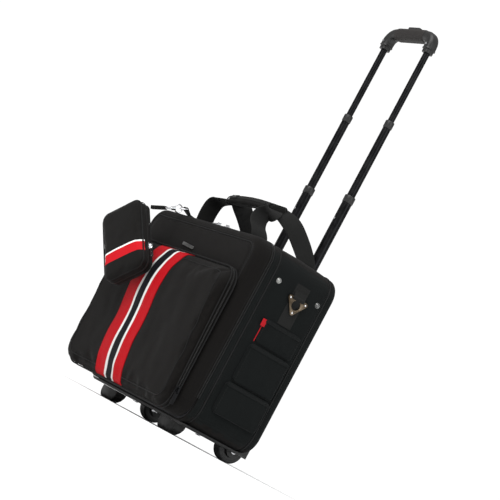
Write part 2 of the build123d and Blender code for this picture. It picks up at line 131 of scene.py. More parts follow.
def make_studio():
    world = bpy.data.worlds.new("studio")
    bpy.context.scene.world = world
    world.use_nodes = True
    background = world.node_tree.nodes["Background"]
    background.inputs["Color"].default_value = (1, 1, 1, 1)
    # The backdrop is white to look at, and the light that it gives is softer.
    seen = world.node_tree.nodes.new("ShaderNodeLightPath")
    strength = world.node_tree.nodes.new("ShaderNodeMapRange")
    strength.inputs["To Min"].default_value = FILL_STRENGTH
    strength.inputs["To Max"].default_value = BACKDROP_STRENGTH
    world.node_tree.links.new(seen.outputs["Is Camera Ray"], strength.inputs["Value"])
    world.node_tree.links.new(strength.outputs["Result"], background.inputs["Strength"])
    area_light("key", (1.0, -2.6, 2.2), (1.6, 1.6), 30, (1, 1, 1))
    area_light("side", (2.8, 0.6, 1.4), (1.2, 2.0), 22, (0.95, 1.0, 1.0))
    sun = add_light("soft_sun", "SUN", SUN_STRENGTH)
    sun.data.angle = SUN_SPREAD
    sun.rotation_euler = SUN_TURN
    bpy.context.scene.view_settings.view_transform = "Standard"

    bpy.ops.mesh.primitive_plane_add(size=FLOOR_SIZE)
    floor = bpy.context.object
    floor.name = "floor"
    floor.data.materials.append(plain_material("floor_white", (0.95, 0.95, 0.95), 0.95))


# ---- materials ----------------------------------------------------------------------------
RED = (0.5, 0.003, 0.009)
WHITE = (0.82, 0.82, 0.8)
NAVY = (0.003, 0.0032, 0.006)
RIBBON_WIDTH = 0.108
# The ribbon's bands from left to right: share of its width, and colour.
RIBBON_BANDS = ((0.35, RED), (0.065, WHITE), (0.205, NAVY), (0.07, WHITE), (0.31, RED))
# The pouch's band and the line over it, as heights from its middle.
POUCH_RED = (-41 * MM, -22 * MM)
POUCH_WHITE = (-22 * MM, -18.5 * MM)
POUCH_BAND_REAR = -8 * MM
CLOTH_ROUGHNESS = 0.85
MATERIALS = {}


class Graph:
    """A material's nodes, made one after another."""

    def __init__(self, name):
        self.material = bpy.data.materials.new(name)
        self.material.use_nodes = True
        self.tree = self.material.node_tree
        self.shader = self.tree.nodes["Principled BSDF"]

    def node(self, kind, **values):
        node = self.tree.nodes.new(kind)
        for key, value in values.items():
            setattr(node, key, value)
        return node

    def link(self, source, target):
        self.tree.links.new(source, target)

    def set(self, **values):
        """Puts constants on the shader's own sockets."""
        for key, value in values.items():
            self.shader.inputs[key.replace("_", " ")].default_value = value

    def feed(self, **sources):
        """Links what the nodes work out to the shader."""
        for key, source in sources.items():
            self.link(source, self.shader.inputs[key.replace("_", " ")])

    def object_place(self):
        return self.node("ShaderNodeTexCoord").outputs["Object"]

    def uv_place(self):
        return self.node("ShaderNodeTexCoord").outputs["UV"]

    def axes(self, vector):
        split = self.node("ShaderNodeSeparateXYZ")
        self.link(vector, split.inputs["Vector"])
        return [split.outputs[axis] for axis in "XYZ"]

    def noise(self, place, scale, detail=4.0, stretch=None):
        if stretch:
            mapping = self.node("ShaderNodeMapping")
            mapping.inputs["Scale"].default_value = stretch
            self.link(place, mapping.inputs["Vector"])
            place = mapping.outputs["Vector"]
        texture = self.node("ShaderNodeTexNoise")
        texture.inputs["Scale"].default_value = scale
        texture.inputs["Detail"].default_value = detail
        self.link(place, texture.inputs["Vector"])
        return texture.outputs["Fac"]

    def math(self, operation, a, b=None):
        node = self.node("ShaderNodeMath", operation=operation)
        for index, value in enumerate((a, b)):
            if isinstance(value, (int, float)):
                node.inputs[index].default_value = value
            elif value is not None:
                self.link(value, node.inputs[index])
        return node.outputs["Value"]

    def wave(self, value, pitch):
        return self.math("SINE", self.math("MULTIPLY", value, 2 * math.pi / pitch))

    def spread(self, value, low, high, from_low=0.3, from_high=0.7):
        """Maps a noise's middle range onto low to high."""
        node = self.node("ShaderNodeMapRange")
        node.inputs["From Min"].default_value = from_low
        node.inputs["From Max"].default_value = from_high
        node.inputs["To Min"].default_value = low
        node.inputs["To Max"].default_value = high
        self.link(value, node.inputs["Value"])
        return node.outputs["Result"]

    def mix(self, factor, a, b):
        node = self.node("ShaderNodeMix", data_type="RGBA")
        for socket, value in ((node.inputs["A"], a), (node.inputs["B"], b)):
            if isinstance(value, tuple):
                socket.default_value = (*value, 1)
            else:
                self.link(value, socket)
        self.link(factor, node.inputs["Factor"])
        return node.outputs["Result"]

    def bump(self, height, strength, distance, below=None):
        node = self.node("ShaderNodeBump")
        node.inputs["Strength"].default_value = strength
        node.inputs["Distance"].default_value = distance
        self.link(height, node.inputs["Height"])
        if below is not None:
            self.link(below, node.inputs["Normal"])
        return node.outputs["Normal"]

    def weave(self, place, pitch):
        """A plain weave that reads on faces along any axis."""
        scaled = self.node("ShaderNodeVectorMath", operation="SCALE")
        scaled.inputs["Scale"].default_value = math.pi / pitch
        self.link(place, scaled.inputs["Vector"])
        waves = self.node("ShaderNodeVectorMath", operation="SINE")
        self.link(scaled.outputs["Vector"], waves.inputs["Vector"])
        x, y, z = self.axes(waves.outputs["Vector"])
        pairs = [self.math("MULTIPLY", a, b) for a, b in ((x, z), (y, z), (x, y))]
        total = self.math("ADD", self.math("ADD", pairs[0], pairs[1]), pairs[2])
        return self.spread(total, 0, 1, -1, 1)


def plain_material(name, color, roughness):
    graph = Graph(name)
    tone = graph.spread(graph.noise(graph.object_place(), 6), 0.985, 1.0)
    graph.feed(Base_Color=graph.mix(tone, tuple(c * 0.97 for c in color), color))
    graph.set(Roughness=roughness)
    return graph.material


def cloth_material(name, dark, light, pitch):
    """Woven nylon: threads, uneven dye, a little dust and soft sheen."""
    graph = Graph(name)
    place = graph.object_place()
    threads = graph.weave(place, pitch)
    patches = graph.noise(place, 9, 5)
    lint = graph.noise(place, 900, 2)
    color = graph.mix(graph.math("MULTIPLY", threads, graph.spread(patches, 0.45, 1.0)), dark, light)
    dusty = tuple(min(1, c * 3 + 0.01) for c in light)
    color = graph.mix(graph.spread(lint, 0, 0.06, 0.6, 0.8), color, dusty)
    crease = graph.noise(place, 45, 4, (1, 1, 0.6))
    folds = graph.bump(crease, 0.25, 1.5 * MM)
    graph.feed(
        Base_Color=color,
        Roughness=graph.spread(patches, CLOTH_ROUGHNESS - 0.06, CLOTH_ROUGHNESS + 0.08),
        Normal=graph.bump(threads, 0.35, pitch * 0.5, folds),
    )
    graph.set(Sheen_Weight=0.03, Sheen_Roughness=0.5, Specular_IOR_Level=0.12)
    return graph.material


def webbing_material(name, dark, light, rib=1.6 * MM):
    """Ribbed webbing. U runs across the strap and V along it, both in metres."""
    graph = Graph(name)
    u, v, _ = graph.axes(graph.uv_place())
    across = graph.wave(u, rib)
    chevron = graph.math("MULTIPLY", across, graph.wave(v, rib * 0.55))
    ridge = graph.spread(graph.math("ADD", graph.math("MULTIPLY", across, 1.4), chevron), 0, 1, -2.4, 2.4)
    wear = graph.noise(graph.object_place(), 30, 5)
    graph.feed(
        Base_Color=graph.mix(graph.math("MULTIPLY", ridge, graph.spread(wear, 0.5, 1)), dark, light),
        Roughness=graph.spread(wear, 0.62, 0.8),
        Normal=graph.bump(ridge, 0.5, 0.5 * MM),
    )
    graph.set(Sheen_Weight=0.03, Specular_IOR_Level=0.18)
    return graph.material


def stripe_material(name, bands, width):
    """A woven ribbon whose bands are (share of the width, colour) from left to right."""
    graph = Graph(name)
    u, v, _ = graph.axes(graph.uv_place())
    wobble = graph.spread(graph.noise(graph.object_place(), 26, 2), -0.008, 0.008)
    ramp = graph.node("ShaderNodeValToRGB")
    ramp.color_ramp.interpolation = "CONSTANT"
    stops = ramp.color_ramp.elements
    start = 0.0
    for index, (share, color) in enumerate(bands):
        stop = stops[index] if index < 2 else stops.new(start)
        stop.position = start
        stop.color = (*color, 1)
        start += share
    graph.link(graph.math("ADD", graph.math("DIVIDE", u, width), wobble), ramp.inputs["Fac"])
    rib = 1.1 * MM
    ridge = graph.spread(graph.math("MULTIPLY", graph.wave(u, rib), graph.wave(v, rib)), 0, 1, -1, 1)
    soil = graph.noise(graph.object_place(), 14, 5)
    depth = graph.math("MULTIPLY", graph.spread(ridge, 0.72, 1.0, 0, 1), graph.spread(soil, 0.86, 1.0))
    shade = graph.node("ShaderNodeMix", data_type="RGBA", blend_type="MULTIPLY")
    shade.inputs["Factor"].default_value = 1.0
    graph.link(ramp.outputs["Color"], shade.inputs["A"])
    graph.link(depth, shade.inputs["B"])
    graph.feed(
        Base_Color=shade.outputs["Result"],
        Roughness=graph.spread(soil, 0.55, 0.72),
        Normal=graph.bump(ridge, 0.4, 0.4 * MM),
    )
    graph.set(Specular_IOR_Level=0.1)
    return graph.material


def moulded_material(name, color, roughness, grain=260, depth=0.12, coat=0.0):
    """Moulded plastic or rubber with a fine grain and rubbed patches."""
    graph = Graph(name)
    place = graph.object_place()
    fine = graph.noise(place, grain * 4, 3)
    rubbed = graph.noise(place, 22, 6)
    lighter = tuple(min(1, c * 1.6 + 0.002) for c in color)
    graph.feed(
        Base_Color=graph.mix(graph.spread(rubbed, 0, 0.7), color, lighter),
        Roughness=graph.spread(rubbed, roughness - 0.08, roughness + 0.1),
        Normal=graph.bump(fine, depth, 0.4 * MM),
    )
    graph.set(Coat_Weight=coat)
    return graph.material


def metal_material(name, color, roughness, worn=None, stretch=(1, 1, 1)):
    """Metal with fine brushing, uneven polish and, if worn, a second colour where it is rubbed."""
    graph = Graph(name)
    place = graph.object_place()
    brushed = graph.noise(place, 700, 3, stretch)
    patches = graph.noise(place, 60, 5)
    rubbed = worn or tuple(c * 0.82 for c in color)
    graph.feed(
        Base_Color=graph.mix(graph.spread(patches, 0, 1, 0.35, 0.65), color, rubbed),
        Roughness=graph.spread(patches, roughness - 0.05, roughness + 0.1),
        Normal=graph.bump(brushed, 0.08, 0.2 * MM),
    )
    graph.set(Metallic=1.0)
    return graph.material


def pouch_material():
    """The pouch's nylon, with a white line over a red band across its front."""
    graph = Graph("pouch_nylon")
    place = graph.object_place()
    _, deep, height = graph.axes(place)
    threads = graph.weave(place, 0.7 * MM)
    soil = graph.noise(place, 40, 5)
    tone = graph.math("MULTIPLY", threads, soil)
    black = graph.mix(tone, (0.0018, 0.0015, 0.0013), (0.0075, 0.0062, 0.0055))
    on_front = graph.math("LESS_THAN", deep, POUCH_BAND_REAR)

    def band(low, high):
        above = graph.math("GREATER_THAN", height, low)
        below = graph.math("LESS_THAN", height, high)
        return graph.math("MULTIPLY", graph.math("MULTIPLY", above, below), on_front)

    graph.feed(
        Base_Color=graph.mix(band(*POUCH_WHITE), graph.mix(band(*POUCH_RED), black, RED), WHITE),
        Roughness=graph.spread(soil, 0.7, 0.85),
        Normal=graph.bump(threads, 0.35, 0.3 * MM),
    )
    graph.set(Sheen_Weight=0.03, Specular_IOR_Level=0.15)
    return graph.material


def make_cloths():
    """Nylon, webbing and thread. The colours are those between the threads and on them."""
    MATERIALS.update(
        front=cloth_material("front_nylon", (0.0016, 0.0013, 0.0011), (0.0068, 0.0055, 0.0049), 0.75 * MM),
        side=cloth_material("side_nylon", (0.0014, 0.0019, 0.0019), (0.0056, 0.0074, 0.0074), 1.1 * MM),
        lining=cloth_material("lining_nylon", (0.02, 0.02, 0.022), (0.045, 0.045, 0.05), 0.5 * MM),
        wrap=cloth_material("wrap_cloth", (0.0035, 0.0033, 0.003), (0.013, 0.0125, 0.012), 0.9 * MM),
        red=cloth_material("red_cloth", (0.3, 0.006, 0.01), (0.5, 0.012, 0.02), 0.6 * MM),
        pouch=pouch_material(),
        ribbon=stripe_material("striped_webbing", RIBBON_BANDS, RIBBON_WIDTH),
        piping=webbing_material("piping_webbing", (0.002, 0.002, 0.002), (0.0095, 0.0098, 0.010)),
        webbing=webbing_material("strap_webbing", (0.0025, 0.0025, 0.0023), (0.0105, 0.0105, 0.010)),
        side_tape=webbing_material("side_tape", (0.0014, 0.0018, 0.0018), (0.0058, 0.0076, 0.0076)),
        thread=webbing_material("black_thread", (0.006, 0.006, 0.006), (0.02, 0.02, 0.02), 0.4 * MM),
        red_thread=webbing_material("red_thread", (0.3, 0.01, 0.015), (0.5, 0.02, 0.03), 0.4 * MM),
    )


def make_hard_materials():
    """Plastic, rubber and metal."""
    tube_worn = (0.018, 0.018, 0.019)
    MATERIALS.update(
        plastic=moulded_material("moulded_plastic", (0.0028, 0.0027, 0.0026), 0.45),
        rubber=moulded_material("grip_rubber", (0.0075, 0.0055, 0.0048), 0.68, 120, 0.35),
        button=moulded_material("button_plastic", (0.004, 0.004, 0.004), 0.4, 400, 0.05, 0.1),
        tyre=moulded_material("wheel_tyre", (0.006, 0.006, 0.006), 0.5, 200, 0.15),
        hub=moulded_material("wheel_hub", (0.006, 0.006, 0.006), 0.4),
        tube=metal_material("black_anodised", (0.011, 0.011, 0.012), 0.34, tube_worn, (1, 1, 0.02)),
        bare=metal_material("mill_aluminium", (0.6, 0.6, 0.62), 0.35),
        nickel=metal_material("polished_nickel", (0.82, 0.82, 0.84), 0.16),
        snap=metal_material("snap_nickel", (0.12, 0.12, 0.12), 0.3, (0.3, 0.3, 0.29)),
        antique=metal_material("antique_nickel", (0.055, 0.04, 0.026), 0.32, (0.2, 0.155, 0.11)),
        steel=metal_material("turned_steel", (0.62, 0.62, 0.64), 0.25),
    )


SLOT_LOOKS = {
    "black_nylon": "front",
    "side_nylon": "side",
    "webbing": "webbing",
    "striped_webbing": "ribbon",
    "black_plastic": "plastic",
    "grip_rubber": "rubber",
    "button_plastic": "button",
    "black_tube": "tube",
    "hidden_metal": "bare",
    "wheel_tyre": "tyre",
    "wheel_hub": "hub",
    "bright_metal": "nickel",
    "antique_metal": "antique",
    "steel": "steel",
}


def dress_frame():
    """Gives every carried-over node the material of its slot."""
    for node, slot in NODE_SLOTS.items():
        mesh = frame["nodes"][node].data
        mesh.materials.clear()
        mesh.materials.append(MATERIALS[SLOT_LOOKS[slot]])


# ---- mesh helpers -------------------------------------------------------------------------
SIM_FRAMES = 20
AIR_PRESSURE = 4.0


def add_piece(name, verts, faces, look, slot, body, stands_for=(), place=None, uvs=None, sharp=40):
    """A smooth-shaded mesh that rides on a body and stands for CAD nodes."""
    mesh = bpy.data.meshes.new(name)
    mesh.from_pydata([tuple(vert) for vert in verts], [], faces)
    if uvs:
        layer = mesh.uv_layers.new(name="UVMap")
        for loop in mesh.loops:
            layer.data[loop.index].uv = uvs[loop.vertex_index]
    rework(mesh, turn_outward)
    piece = bpy.data.objects.new(name, mesh)
    bpy.context.scene.collection.objects.link(piece)
    if place:
        piece.matrix_world = place
    mesh.materials.append(MATERIALS[look])
    soften(mesh, sharp)
    if stands_for:
        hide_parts(*stands_for)
    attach(piece, body)
    return piece


def rework(mesh, *steps):
    """Runs steps on a mesh in edit form and writes the result back."""
    build = bmesh.new()
    build.from_mesh(mesh)
    for step in steps:
        step(build)
    build.to_mesh(mesh)
    build.free()


def turn_outward(build):
    bmesh.ops.recalc_face_normals(build, faces=build.faces)


def applied_mesh(piece):
    """A piece's mesh with its modifiers applied."""
    bpy.context.view_layer.update()
    graph = bpy.context.evaluated_depsgraph_get()
    return bpy.data.meshes.new_from_object(piece.evaluated_get(graph))


def soften(mesh, sharp):
    mesh.shade_smooth()
    mesh.set_sharp_from_angle(angle=math.radians(sharp))


def loft(rings, wrap=False, caps=(False, False)):
    """Verts and faces that join closed rings of equal length, one after another."""
    count = len(rings[0])
    verts = [point for ring in rings for point in ring]
    faces = []
    rows = len(rings) if wrap else len(rings) - 1
    for row in range(rows):
        here = row * count
        there = ((row + 1) % len(rings)) * count
        for k in range(count):
            k_next = (k + 1) % count
            faces.append((here + k, here + k_next, there + k_next, there + k))
    for ring, start, wanted in ((rings[0], 0, caps[0]), (rings[-1], len(verts) - count, caps[1])):
        if wanted:
            middle = sum((Vector(point) for point in ring), Vector()) / count
            verts.append(middle)
            for k in range(count):
                faces.append((start + k, start + (k + 1) % count, len(verts) - 1))
    return verts, faces


def rounded_outline(half_u, half_v, radius, arc=10, straight=22):
    """Points round a rounded rectangle. The same index is the same place at any size."""
    points = []
    corners = ((1, 1), (-1, 1), (-1, -1), (1, -1))
    for index, (su, sv) in enumerate(corners):
        middle_u = su * (half_u - radius)
        middle_v = sv * (half_v - radius)
        for k in range(arc + 1):
            angle = math.pi / 2 * (index + k / arc)
            points.append((middle_u + radius * math.cos(angle), middle_v + radius * math.sin(angle)))
        next_u, next_v = corners[(index + 1) % 4]
        ahead = math.pi / 2 * (index + 1)
        end_u = next_u * (half_u - radius) + radius * math.cos(ahead)
        end_v = next_v * (half_v - radius) + radius * math.sin(ahead)
        start_u, start_v = points[-1]
        for k in range(1, straight):
            part = k / straight
            points.append((start_u + (end_u - start_u) * part, start_v + (end_v - start_v) * part))
    return points


def resample(points, count):
    """Evenly spaced points along a path."""
    points = [Vector(point) for point in points]
    lengths = [0.0]
    for start, end in zip(points, points[1:]):
        lengths.append(lengths[-1] + (end - start).length)
    total = lengths[-1]
    result = []
    index = 0
    for k in range(count):
        wanted = total * k / (count - 1)
        while index < len(lengths) - 2 and lengths[index + 1] < wanted:
            index += 1
        span = lengths[index + 1] - lengths[index] or 1.0
        result.append(points[index].lerp(points[index + 1], (wanted - lengths[index]) / span))
    return result


def rounded_path(points, count, passes=3):
    """A smooth path through corners that are cut a few times over."""
    points = [Vector(point) for point in points]
    for _ in range(passes):
        cut = [points[0]]
        for start, end in zip(points, points[1:]):
            cut.append(start.lerp(end, 0.25))
            cut.append(start.lerp(end, 0.75))
        cut.append(points[-1])
        points = cut
    return resample(points, count)


def quarter_turn(steps, first=0):
    """How far a quarter circle has come in and gone along at each step, in shares of its radius."""
    for k in range(first, steps + 1):
        angle = math.pi / 2 * k / steps
        yield 1 - math.cos(angle), math.sin(angle)


def outward(path, middle_z):
    """The directions that point level with a path round the case and away from its middle line."""
    return [Vector((point.x, 0, point.z - middle_z)).normalized() for point in path]


def away_from(middle, path):
    return [(point - middle).normalized() for point in path]


def path_length(path):
    return sum((end - start).length for start, end in zip(path, path[1:]))


def frames_along(path, ups, closed=False):
    """The side and up directions at each point of a path."""
    result = []
    last = len(path) - 1
    for k, point in enumerate(path):
        before = path[k - 1] if k or closed else path[0]
        after = path[(k + 1) % len(path)] if k < last or closed else path[last]
        along = (after - before).normalized()
        up = ups[k] if isinstance(ups, list) else ups
        side = along.cross(up).normalized()
        result.append((point, side, side.cross(along).normalized()))
    return result


def sweep(path, ups, section, closed=False):
    """Verts, faces and UVs in metres of a section of (side, up) points carried along a path."""
    rings = []
    uvs = []
    travelled = 0.0
    low = min(side for side, _ in section)
    previous = path[0]
    for point, side, up in frames_along(path, ups, closed):
        travelled += (point - previous).length
        previous = point
        rings.append([point + side * a + up * b for a, b in section])
        uvs.extend((a - low, travelled) for a, _ in section)
    verts, faces = loft(rings, wrap=closed, caps=(not closed, not closed))
    uvs.extend((0, 0) for _ in range(len(verts) - len(uvs)))
    return verts, faces, uvs


def round_section(radius, count=10):
    turn = 2 * math.pi / count
    return [(radius * math.cos(k * turn), radius * math.sin(k * turn)) for k in range(count)]


def round_ring(place, radius, height, count):
    """A circle about a place's Z axis."""
    return [place @ Vector((x, y, height)) for x, y in round_section(radius, count)]


def strap_section(width, thickness):
    """A webbing strap's section, with rolled edges and shallow ribs."""
    ribs = 0.12 * MM
    half = width / 2
    thick = thickness / 2
    steps = 14
    top = []
    for k in range(steps + 1):
        side = -half + width * k / steps
        edge = min(1.0, (half - abs(side)) / (thickness * 0.6) + 0.35)
        top.append((side, thick * math.sqrt(edge) + (ribs if k % 2 else -ribs)))
    return top + [(side, -height) for side, height in reversed(top)]


def strap(name, path, ups, width, thickness, body, stands_for=(), look="webbing", slot="webbing"):
    verts, faces, uvs = sweep(path, ups, strap_section(width, thickness))
    piece = add_piece(name, verts, faces, look, slot, body, stands_for, uvs=uvs, sharp=70)
    return piece


def cord_tube(name, path, ups, radius, body, look="piping", slot="webbing", closed=False):
    """Piping, a seam welt or a wire."""
    verts, faces, uvs = sweep(path, ups, round_section(radius), closed)
    return add_piece(name, verts, faces, look, slot, body, uvs=uvs, sharp=180)


def rows_of_blocks(name, rows, size, body, look, slot):
    """Small tapered blocks set along paths, such as stitches or a zip's coil.

    Each row is (path, ups, pitch), and size is the length, width and height of a block."""
    length, width, height = size
    outline = [(-0.5, 0), (-0.28, 0.5), (0.28, 0.5), (0.5, 0), (0.28, -0.5), (-0.28, -0.5)]
    verts, faces = [], []
    for path, ups, pitch in rows:
        count = max(3, int(path_length(path) / pitch))
        spread_ups = ups
        if isinstance(ups, list):
            spread_ups = [ups[round(k * (len(ups) - 1) / (count - 1))] for k in range(count)]
        for point, side, up in frames_along(resample(path, count), spread_ups):
            along = side.cross(up)
            start = len(verts)
            for lift, shrink in ((-0.3, 1.0), (0.6, 1.0), (1.0, 0.6)):
                for a, b in outline:
                    flat = along * (a * length * shrink) + side * (b * width * shrink)
                    verts.append(point + flat + up * (height * lift))
            for level in (0, 6):
                for k in range(6):
                    here = start + level + k
                    there = start + level + (k + 1) % 6
                    faces.append((here, there, there + 6, here + 6))
            faces.append(tuple(start + 12 + k for k in range(6)))
            faces.append(tuple(start + k for k in range(6)))
    return add_piece(name, verts, faces, look, slot, body, sharp=60)


def stitches(name, rows, size, body, thread="thread"):
    """Rows of stitches. Size is a stitch's length, width and height in millimetres."""
    rows_of_blocks(name, rows, [value * MM for value in size], body, thread, "webbing")


def zip_coil(name, path, ups, pitch, size, body):
    """The teeth of a zip, with their pitch and size in millimetres."""
    rows = [(path, ups, pitch * MM)]
    rows_of_blocks(name, rows, [value * MM for value in size], body, "plastic", "black_plastic")


def cushion(name, place, half, radius, depth, edge, crown, look, slot, body, stands_for=(), folds=0.5 * MM):
    """A padded panel: local X and Y across its face, and local Z out of it."""
    smallest = 0.6 * MM
    rings = []

    def ring(inset, height):
        outline = rounded_outline(half[0] - inset, half[1] - inset, max(smallest, radius - inset))
        rings.append([Vector((u, v, height)) for u, v in outline])

    def face_ring(scale):
        outline = rounded_outline(half[0] - edge, half[1] - edge, max(smallest, radius - edge))
        swell = 1 - scale**2
        points = []
        for u, v in outline:
            spot = Vector((u * scale, v * scale, 0))
            wave = noise.noise(spot * 38 + Vector((0, 0, depth * 900)))
            wave += 0.5 * noise.noise(Vector((spot.x * 120, spot.y * 50, 3.1)))
            lift = crown * swell + folds * wave * min(1, swell * 4)
            points.append(Vector((spot.x, spot.y, depth + lift)))
        rings.append(points)

    ring(0, 0)
    ring(0, (depth - edge) * 0.5)
    for inward, along in quarter_turn(4):
        ring(edge * inward, depth - edge + edge * along)
    face_rings = 12
    for k in range(1, face_rings):
        face_ring(1 - k / face_rings)
    verts, faces = loft(rings, caps=(True, True))
    piece = add_piece(name, verts, faces, look, slot, body, stands_for, place)
    return piece


def carve(piece, cutters):
    """Cuts boxes and cylinders out of a closed piece."""
    for cutter in cutters:
        cut = piece.modifiers.new("cut", "BOOLEAN")
        cut.operation = "DIFFERENCE"
        cut.solver = "EXACT"
        cut.object = cutter
    carved = applied_mesh(piece)
    piece.modifiers.clear()
    piece.data = carved
    for cutter in cutters:
        bpy.data.objects.remove(cutter)
    soften(carved, 40)


def cutter_box(low, high):
    bpy.ops.mesh.primitive_cube_add(size=1)
    cutter = bpy.context.object
    cutter.location = (Vector(low) + Vector(high)) / 2
    cutter.scale = Vector(high) - Vector(low)
    return cutter


def cutter_rod(radius, low, high):
    bpy.ops.mesh.primitive_cylinder_add(vertices=32, radius=radius, depth=high[2] - low[2])
    cutter = bpy.context.object
    cutter.location = (Vector(low) + Vector(high)) / 2
    return cutter


def lathe(profile, place):
    """A round piece from its (radius, height) profile in millimetres, closed at both ends."""
    rings = [round_ring(place, radius * MM, height * MM, 28) for radius, height in profile]
    return loft(rings, caps=(True, True))


def merged(parts):
    """One list of verts and faces from several."""
    verts, faces = [], []
    for part_verts, part_faces in parts:
        start = len(verts)
        verts.extend(part_verts)
        faces.extend(tuple(index + start for index in face) for face in part_faces)
    return verts, faces


def side_place(side, y, z, x):
    """Local X and Y lie on the case's side and local Z points out of it."""
    turn = Matrix(((0, side, 0), (0, 0, 1), (side, 0, 0))).transposed().to_4x4()
    return Matrix.Translation((side * x, y, z)) @ turn


def inflate(piece, cap, voxel=5 * MM, held=None):
    """Fills a closed cloth piece with air: its panels swell and wrinkle, within a cap."""
    scene = bpy.context.scene
    world = piece.matrix_world.copy()
    remesh = piece.modifiers.new("remesh", "REMESH")
    remesh.mode = "VOXEL"
    remesh.voxel_size = voxel
    mesh = applied_mesh(piece)
    work = bpy.data.objects.new(piece.name + "_work", mesh)
    scene.collection.objects.link(work)
    work.matrix_world = world
    start = [vert.co.copy() for vert in mesh.vertices]
    group = work.vertex_groups.new(name="held")
    if held:
        group.add([k for k, spot in enumerate(start) if held(spot)], 1.0, "REPLACE")
    cloth = work.modifiers.new("cloth", "CLOTH")
    cloth.settings.quality = 6
    cloth.settings.mass = 0.25
    cloth.settings.tension_stiffness = 18
    cloth.settings.compression_stiffness = 12
    cloth.settings.bending_stiffness = 0.25
    cloth.settings.use_pressure = True
    cloth.settings.uniform_pressure_force = AIR_PRESSURE
    cloth.settings.shrink_min = -0.035
    cloth.settings.vertex_group_mass = "held" if held else ""
    cloth.settings.effector_weights.gravity = 0
    cloth.point_cache.frame_start = 1
    cloth.point_cache.frame_end = SIM_FRAMES
    for frame_number in range(1, SIM_FRAMES + 1):
        scene.frame_set(frame_number)
    graph = bpy.context.evaluated_depsgraph_get()
    settled = work.evaluated_get(graph).data
    moved = [vert.co.copy() for vert in settled.vertices]
    for vert, origin, spot in zip(mesh.vertices, start, moved):
        step = spot - origin
        if step.length > cap:
            step = step * (cap / step.length)
        vert.co = origin + step
    piece.modifiers.clear()
    work.modifiers.clear()
    finer = work.modifiers.new("finer", "SUBSURF")
    finer.levels = 1
    final = applied_mesh(work)
    final.materials.clear()
    for material in piece.data.materials:
        final.materials.append(material)
    piece.data = final
    soften(final, 180)
    bpy.data.objects.remove(work)
    scene.frame_set(1)


def join_flats(build):
    """Turns a fine triangle mesh into whole flat faces."""
    bmesh.ops.remove_doubles(build, verts=build.verts, dist=0.01 * MM)
    bmesh.ops.dissolve_limit(build, angle_limit=math.radians(1), verts=build.verts, edges=build.edges)


def refine(node, width):
    """A copy of a hard CAD piece with its edges broken, which stands for the node."""
    sharp = 35
    source = frame["nodes"][node]
    mesh = source.data.copy()
    rework(mesh, join_flats)
    piece = bpy.data.objects.new(node + "_finished", mesh)
    bpy.context.scene.collection.objects.link(piece)
    piece.matrix_world = source.matrix_world.copy()
    bevel = piece.modifiers.new("edges", "BEVEL")
    bevel.width = width
    bevel.segments = 2
    bevel.limit_method = "ANGLE"
    bevel.angle_limit = math.radians(sharp)
    bevel.use_clamp_overlap = True
    bevel.harden_normals = True
    soften(mesh, sharp)
    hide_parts(node)
    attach(piece, next(iter(body_of(source))))


# ---- the soft case ------------------------------------------------------------------------
CASE_HALF = (0.208, 0.1705)
CASE_MIDDLE_Z = 0.1975
CASE_CORNER = 0.036
CASE_FRONT = -0.0226
CASE_REAR = 0.130
REAR_ROUND = 0.010
WALL = 0.006
LINING_DEPTH = 0.0035
# The openings over the wheel housings, which run out through the case's back.
WELL_INNER_X = 0.131
WELL_OUTER_X = 0.1725
WELL_FRONT = 0.082
WELL_TOP = 0.0605
BEHIND = 0.2
SEAM_YS = (-0.006, 0.112)
ZIP_END_Z = 0.075
DOOR_HALF = (0.208, 0.168)
DOOR_MIDDLE_Z = 0.199
DOOR_REAR = -0.0236
DOOR_FRONT = -0.058
DOOR_ROUND = 0.012
POCKET_HALF = (0.206, 0.133)
POCKET_MIDDLE_Z = 0.164
POCKET_REAR = -0.0586
POCKET_TOP = 0.300
# Heights up the pocket, and how far forward its face stands there.
POCKET_PROFILE = ((0.031, -0.074), (0.268, -0.088), (0.297, -0.080))
POCKET_ZIP_END_Z = 0.058
RIBBON_X = -0.028
RIBBON_LOW = 0.034
RIBBON_HIGH = 0.2955
TAG_MIDDLE = (-0.017, -0.0592, 0.3115)
SIDE_FACE = 0.2084


def case_ring(offset, y, scale=1.0, half=CASE_HALF, middle=CASE_MIDDLE_Z, relief=0.0):
    """Points round the case at a depth y. Relief adds slow folds outwards."""
    points = []
    for x, z in rounded_outline(half[0] + offset, half[1] + offset, max(MM, CASE_CORNER + offset)):
        wave = noise.noise(Vector((x * 24, y * 32, z * 24)))
        wave += 0.5 * noise.noise(Vector((x * 60, y * 70, z * 60)))
        grow = 1 + relief * wave / 0.2
        points.append(Vector((x * scale * grow, y, middle + z * scale * grow)))
    return points


def seam_offset(y):
    """How far the skin stands out at a depth y: pulled in at the seams and full between them."""
    pull = 0.0
    for seam in SEAM_YS:
        pull -= 1.3 * MM * math.exp(-(((y - seam) / (2.2 * MM)) ** 2))
    low, high = SEAM_YS
    part = (y - low) / (high - low)
    if 0 < part < 1:
        pull += 1.6 * MM * math.sin(math.pi * part)
    return pull


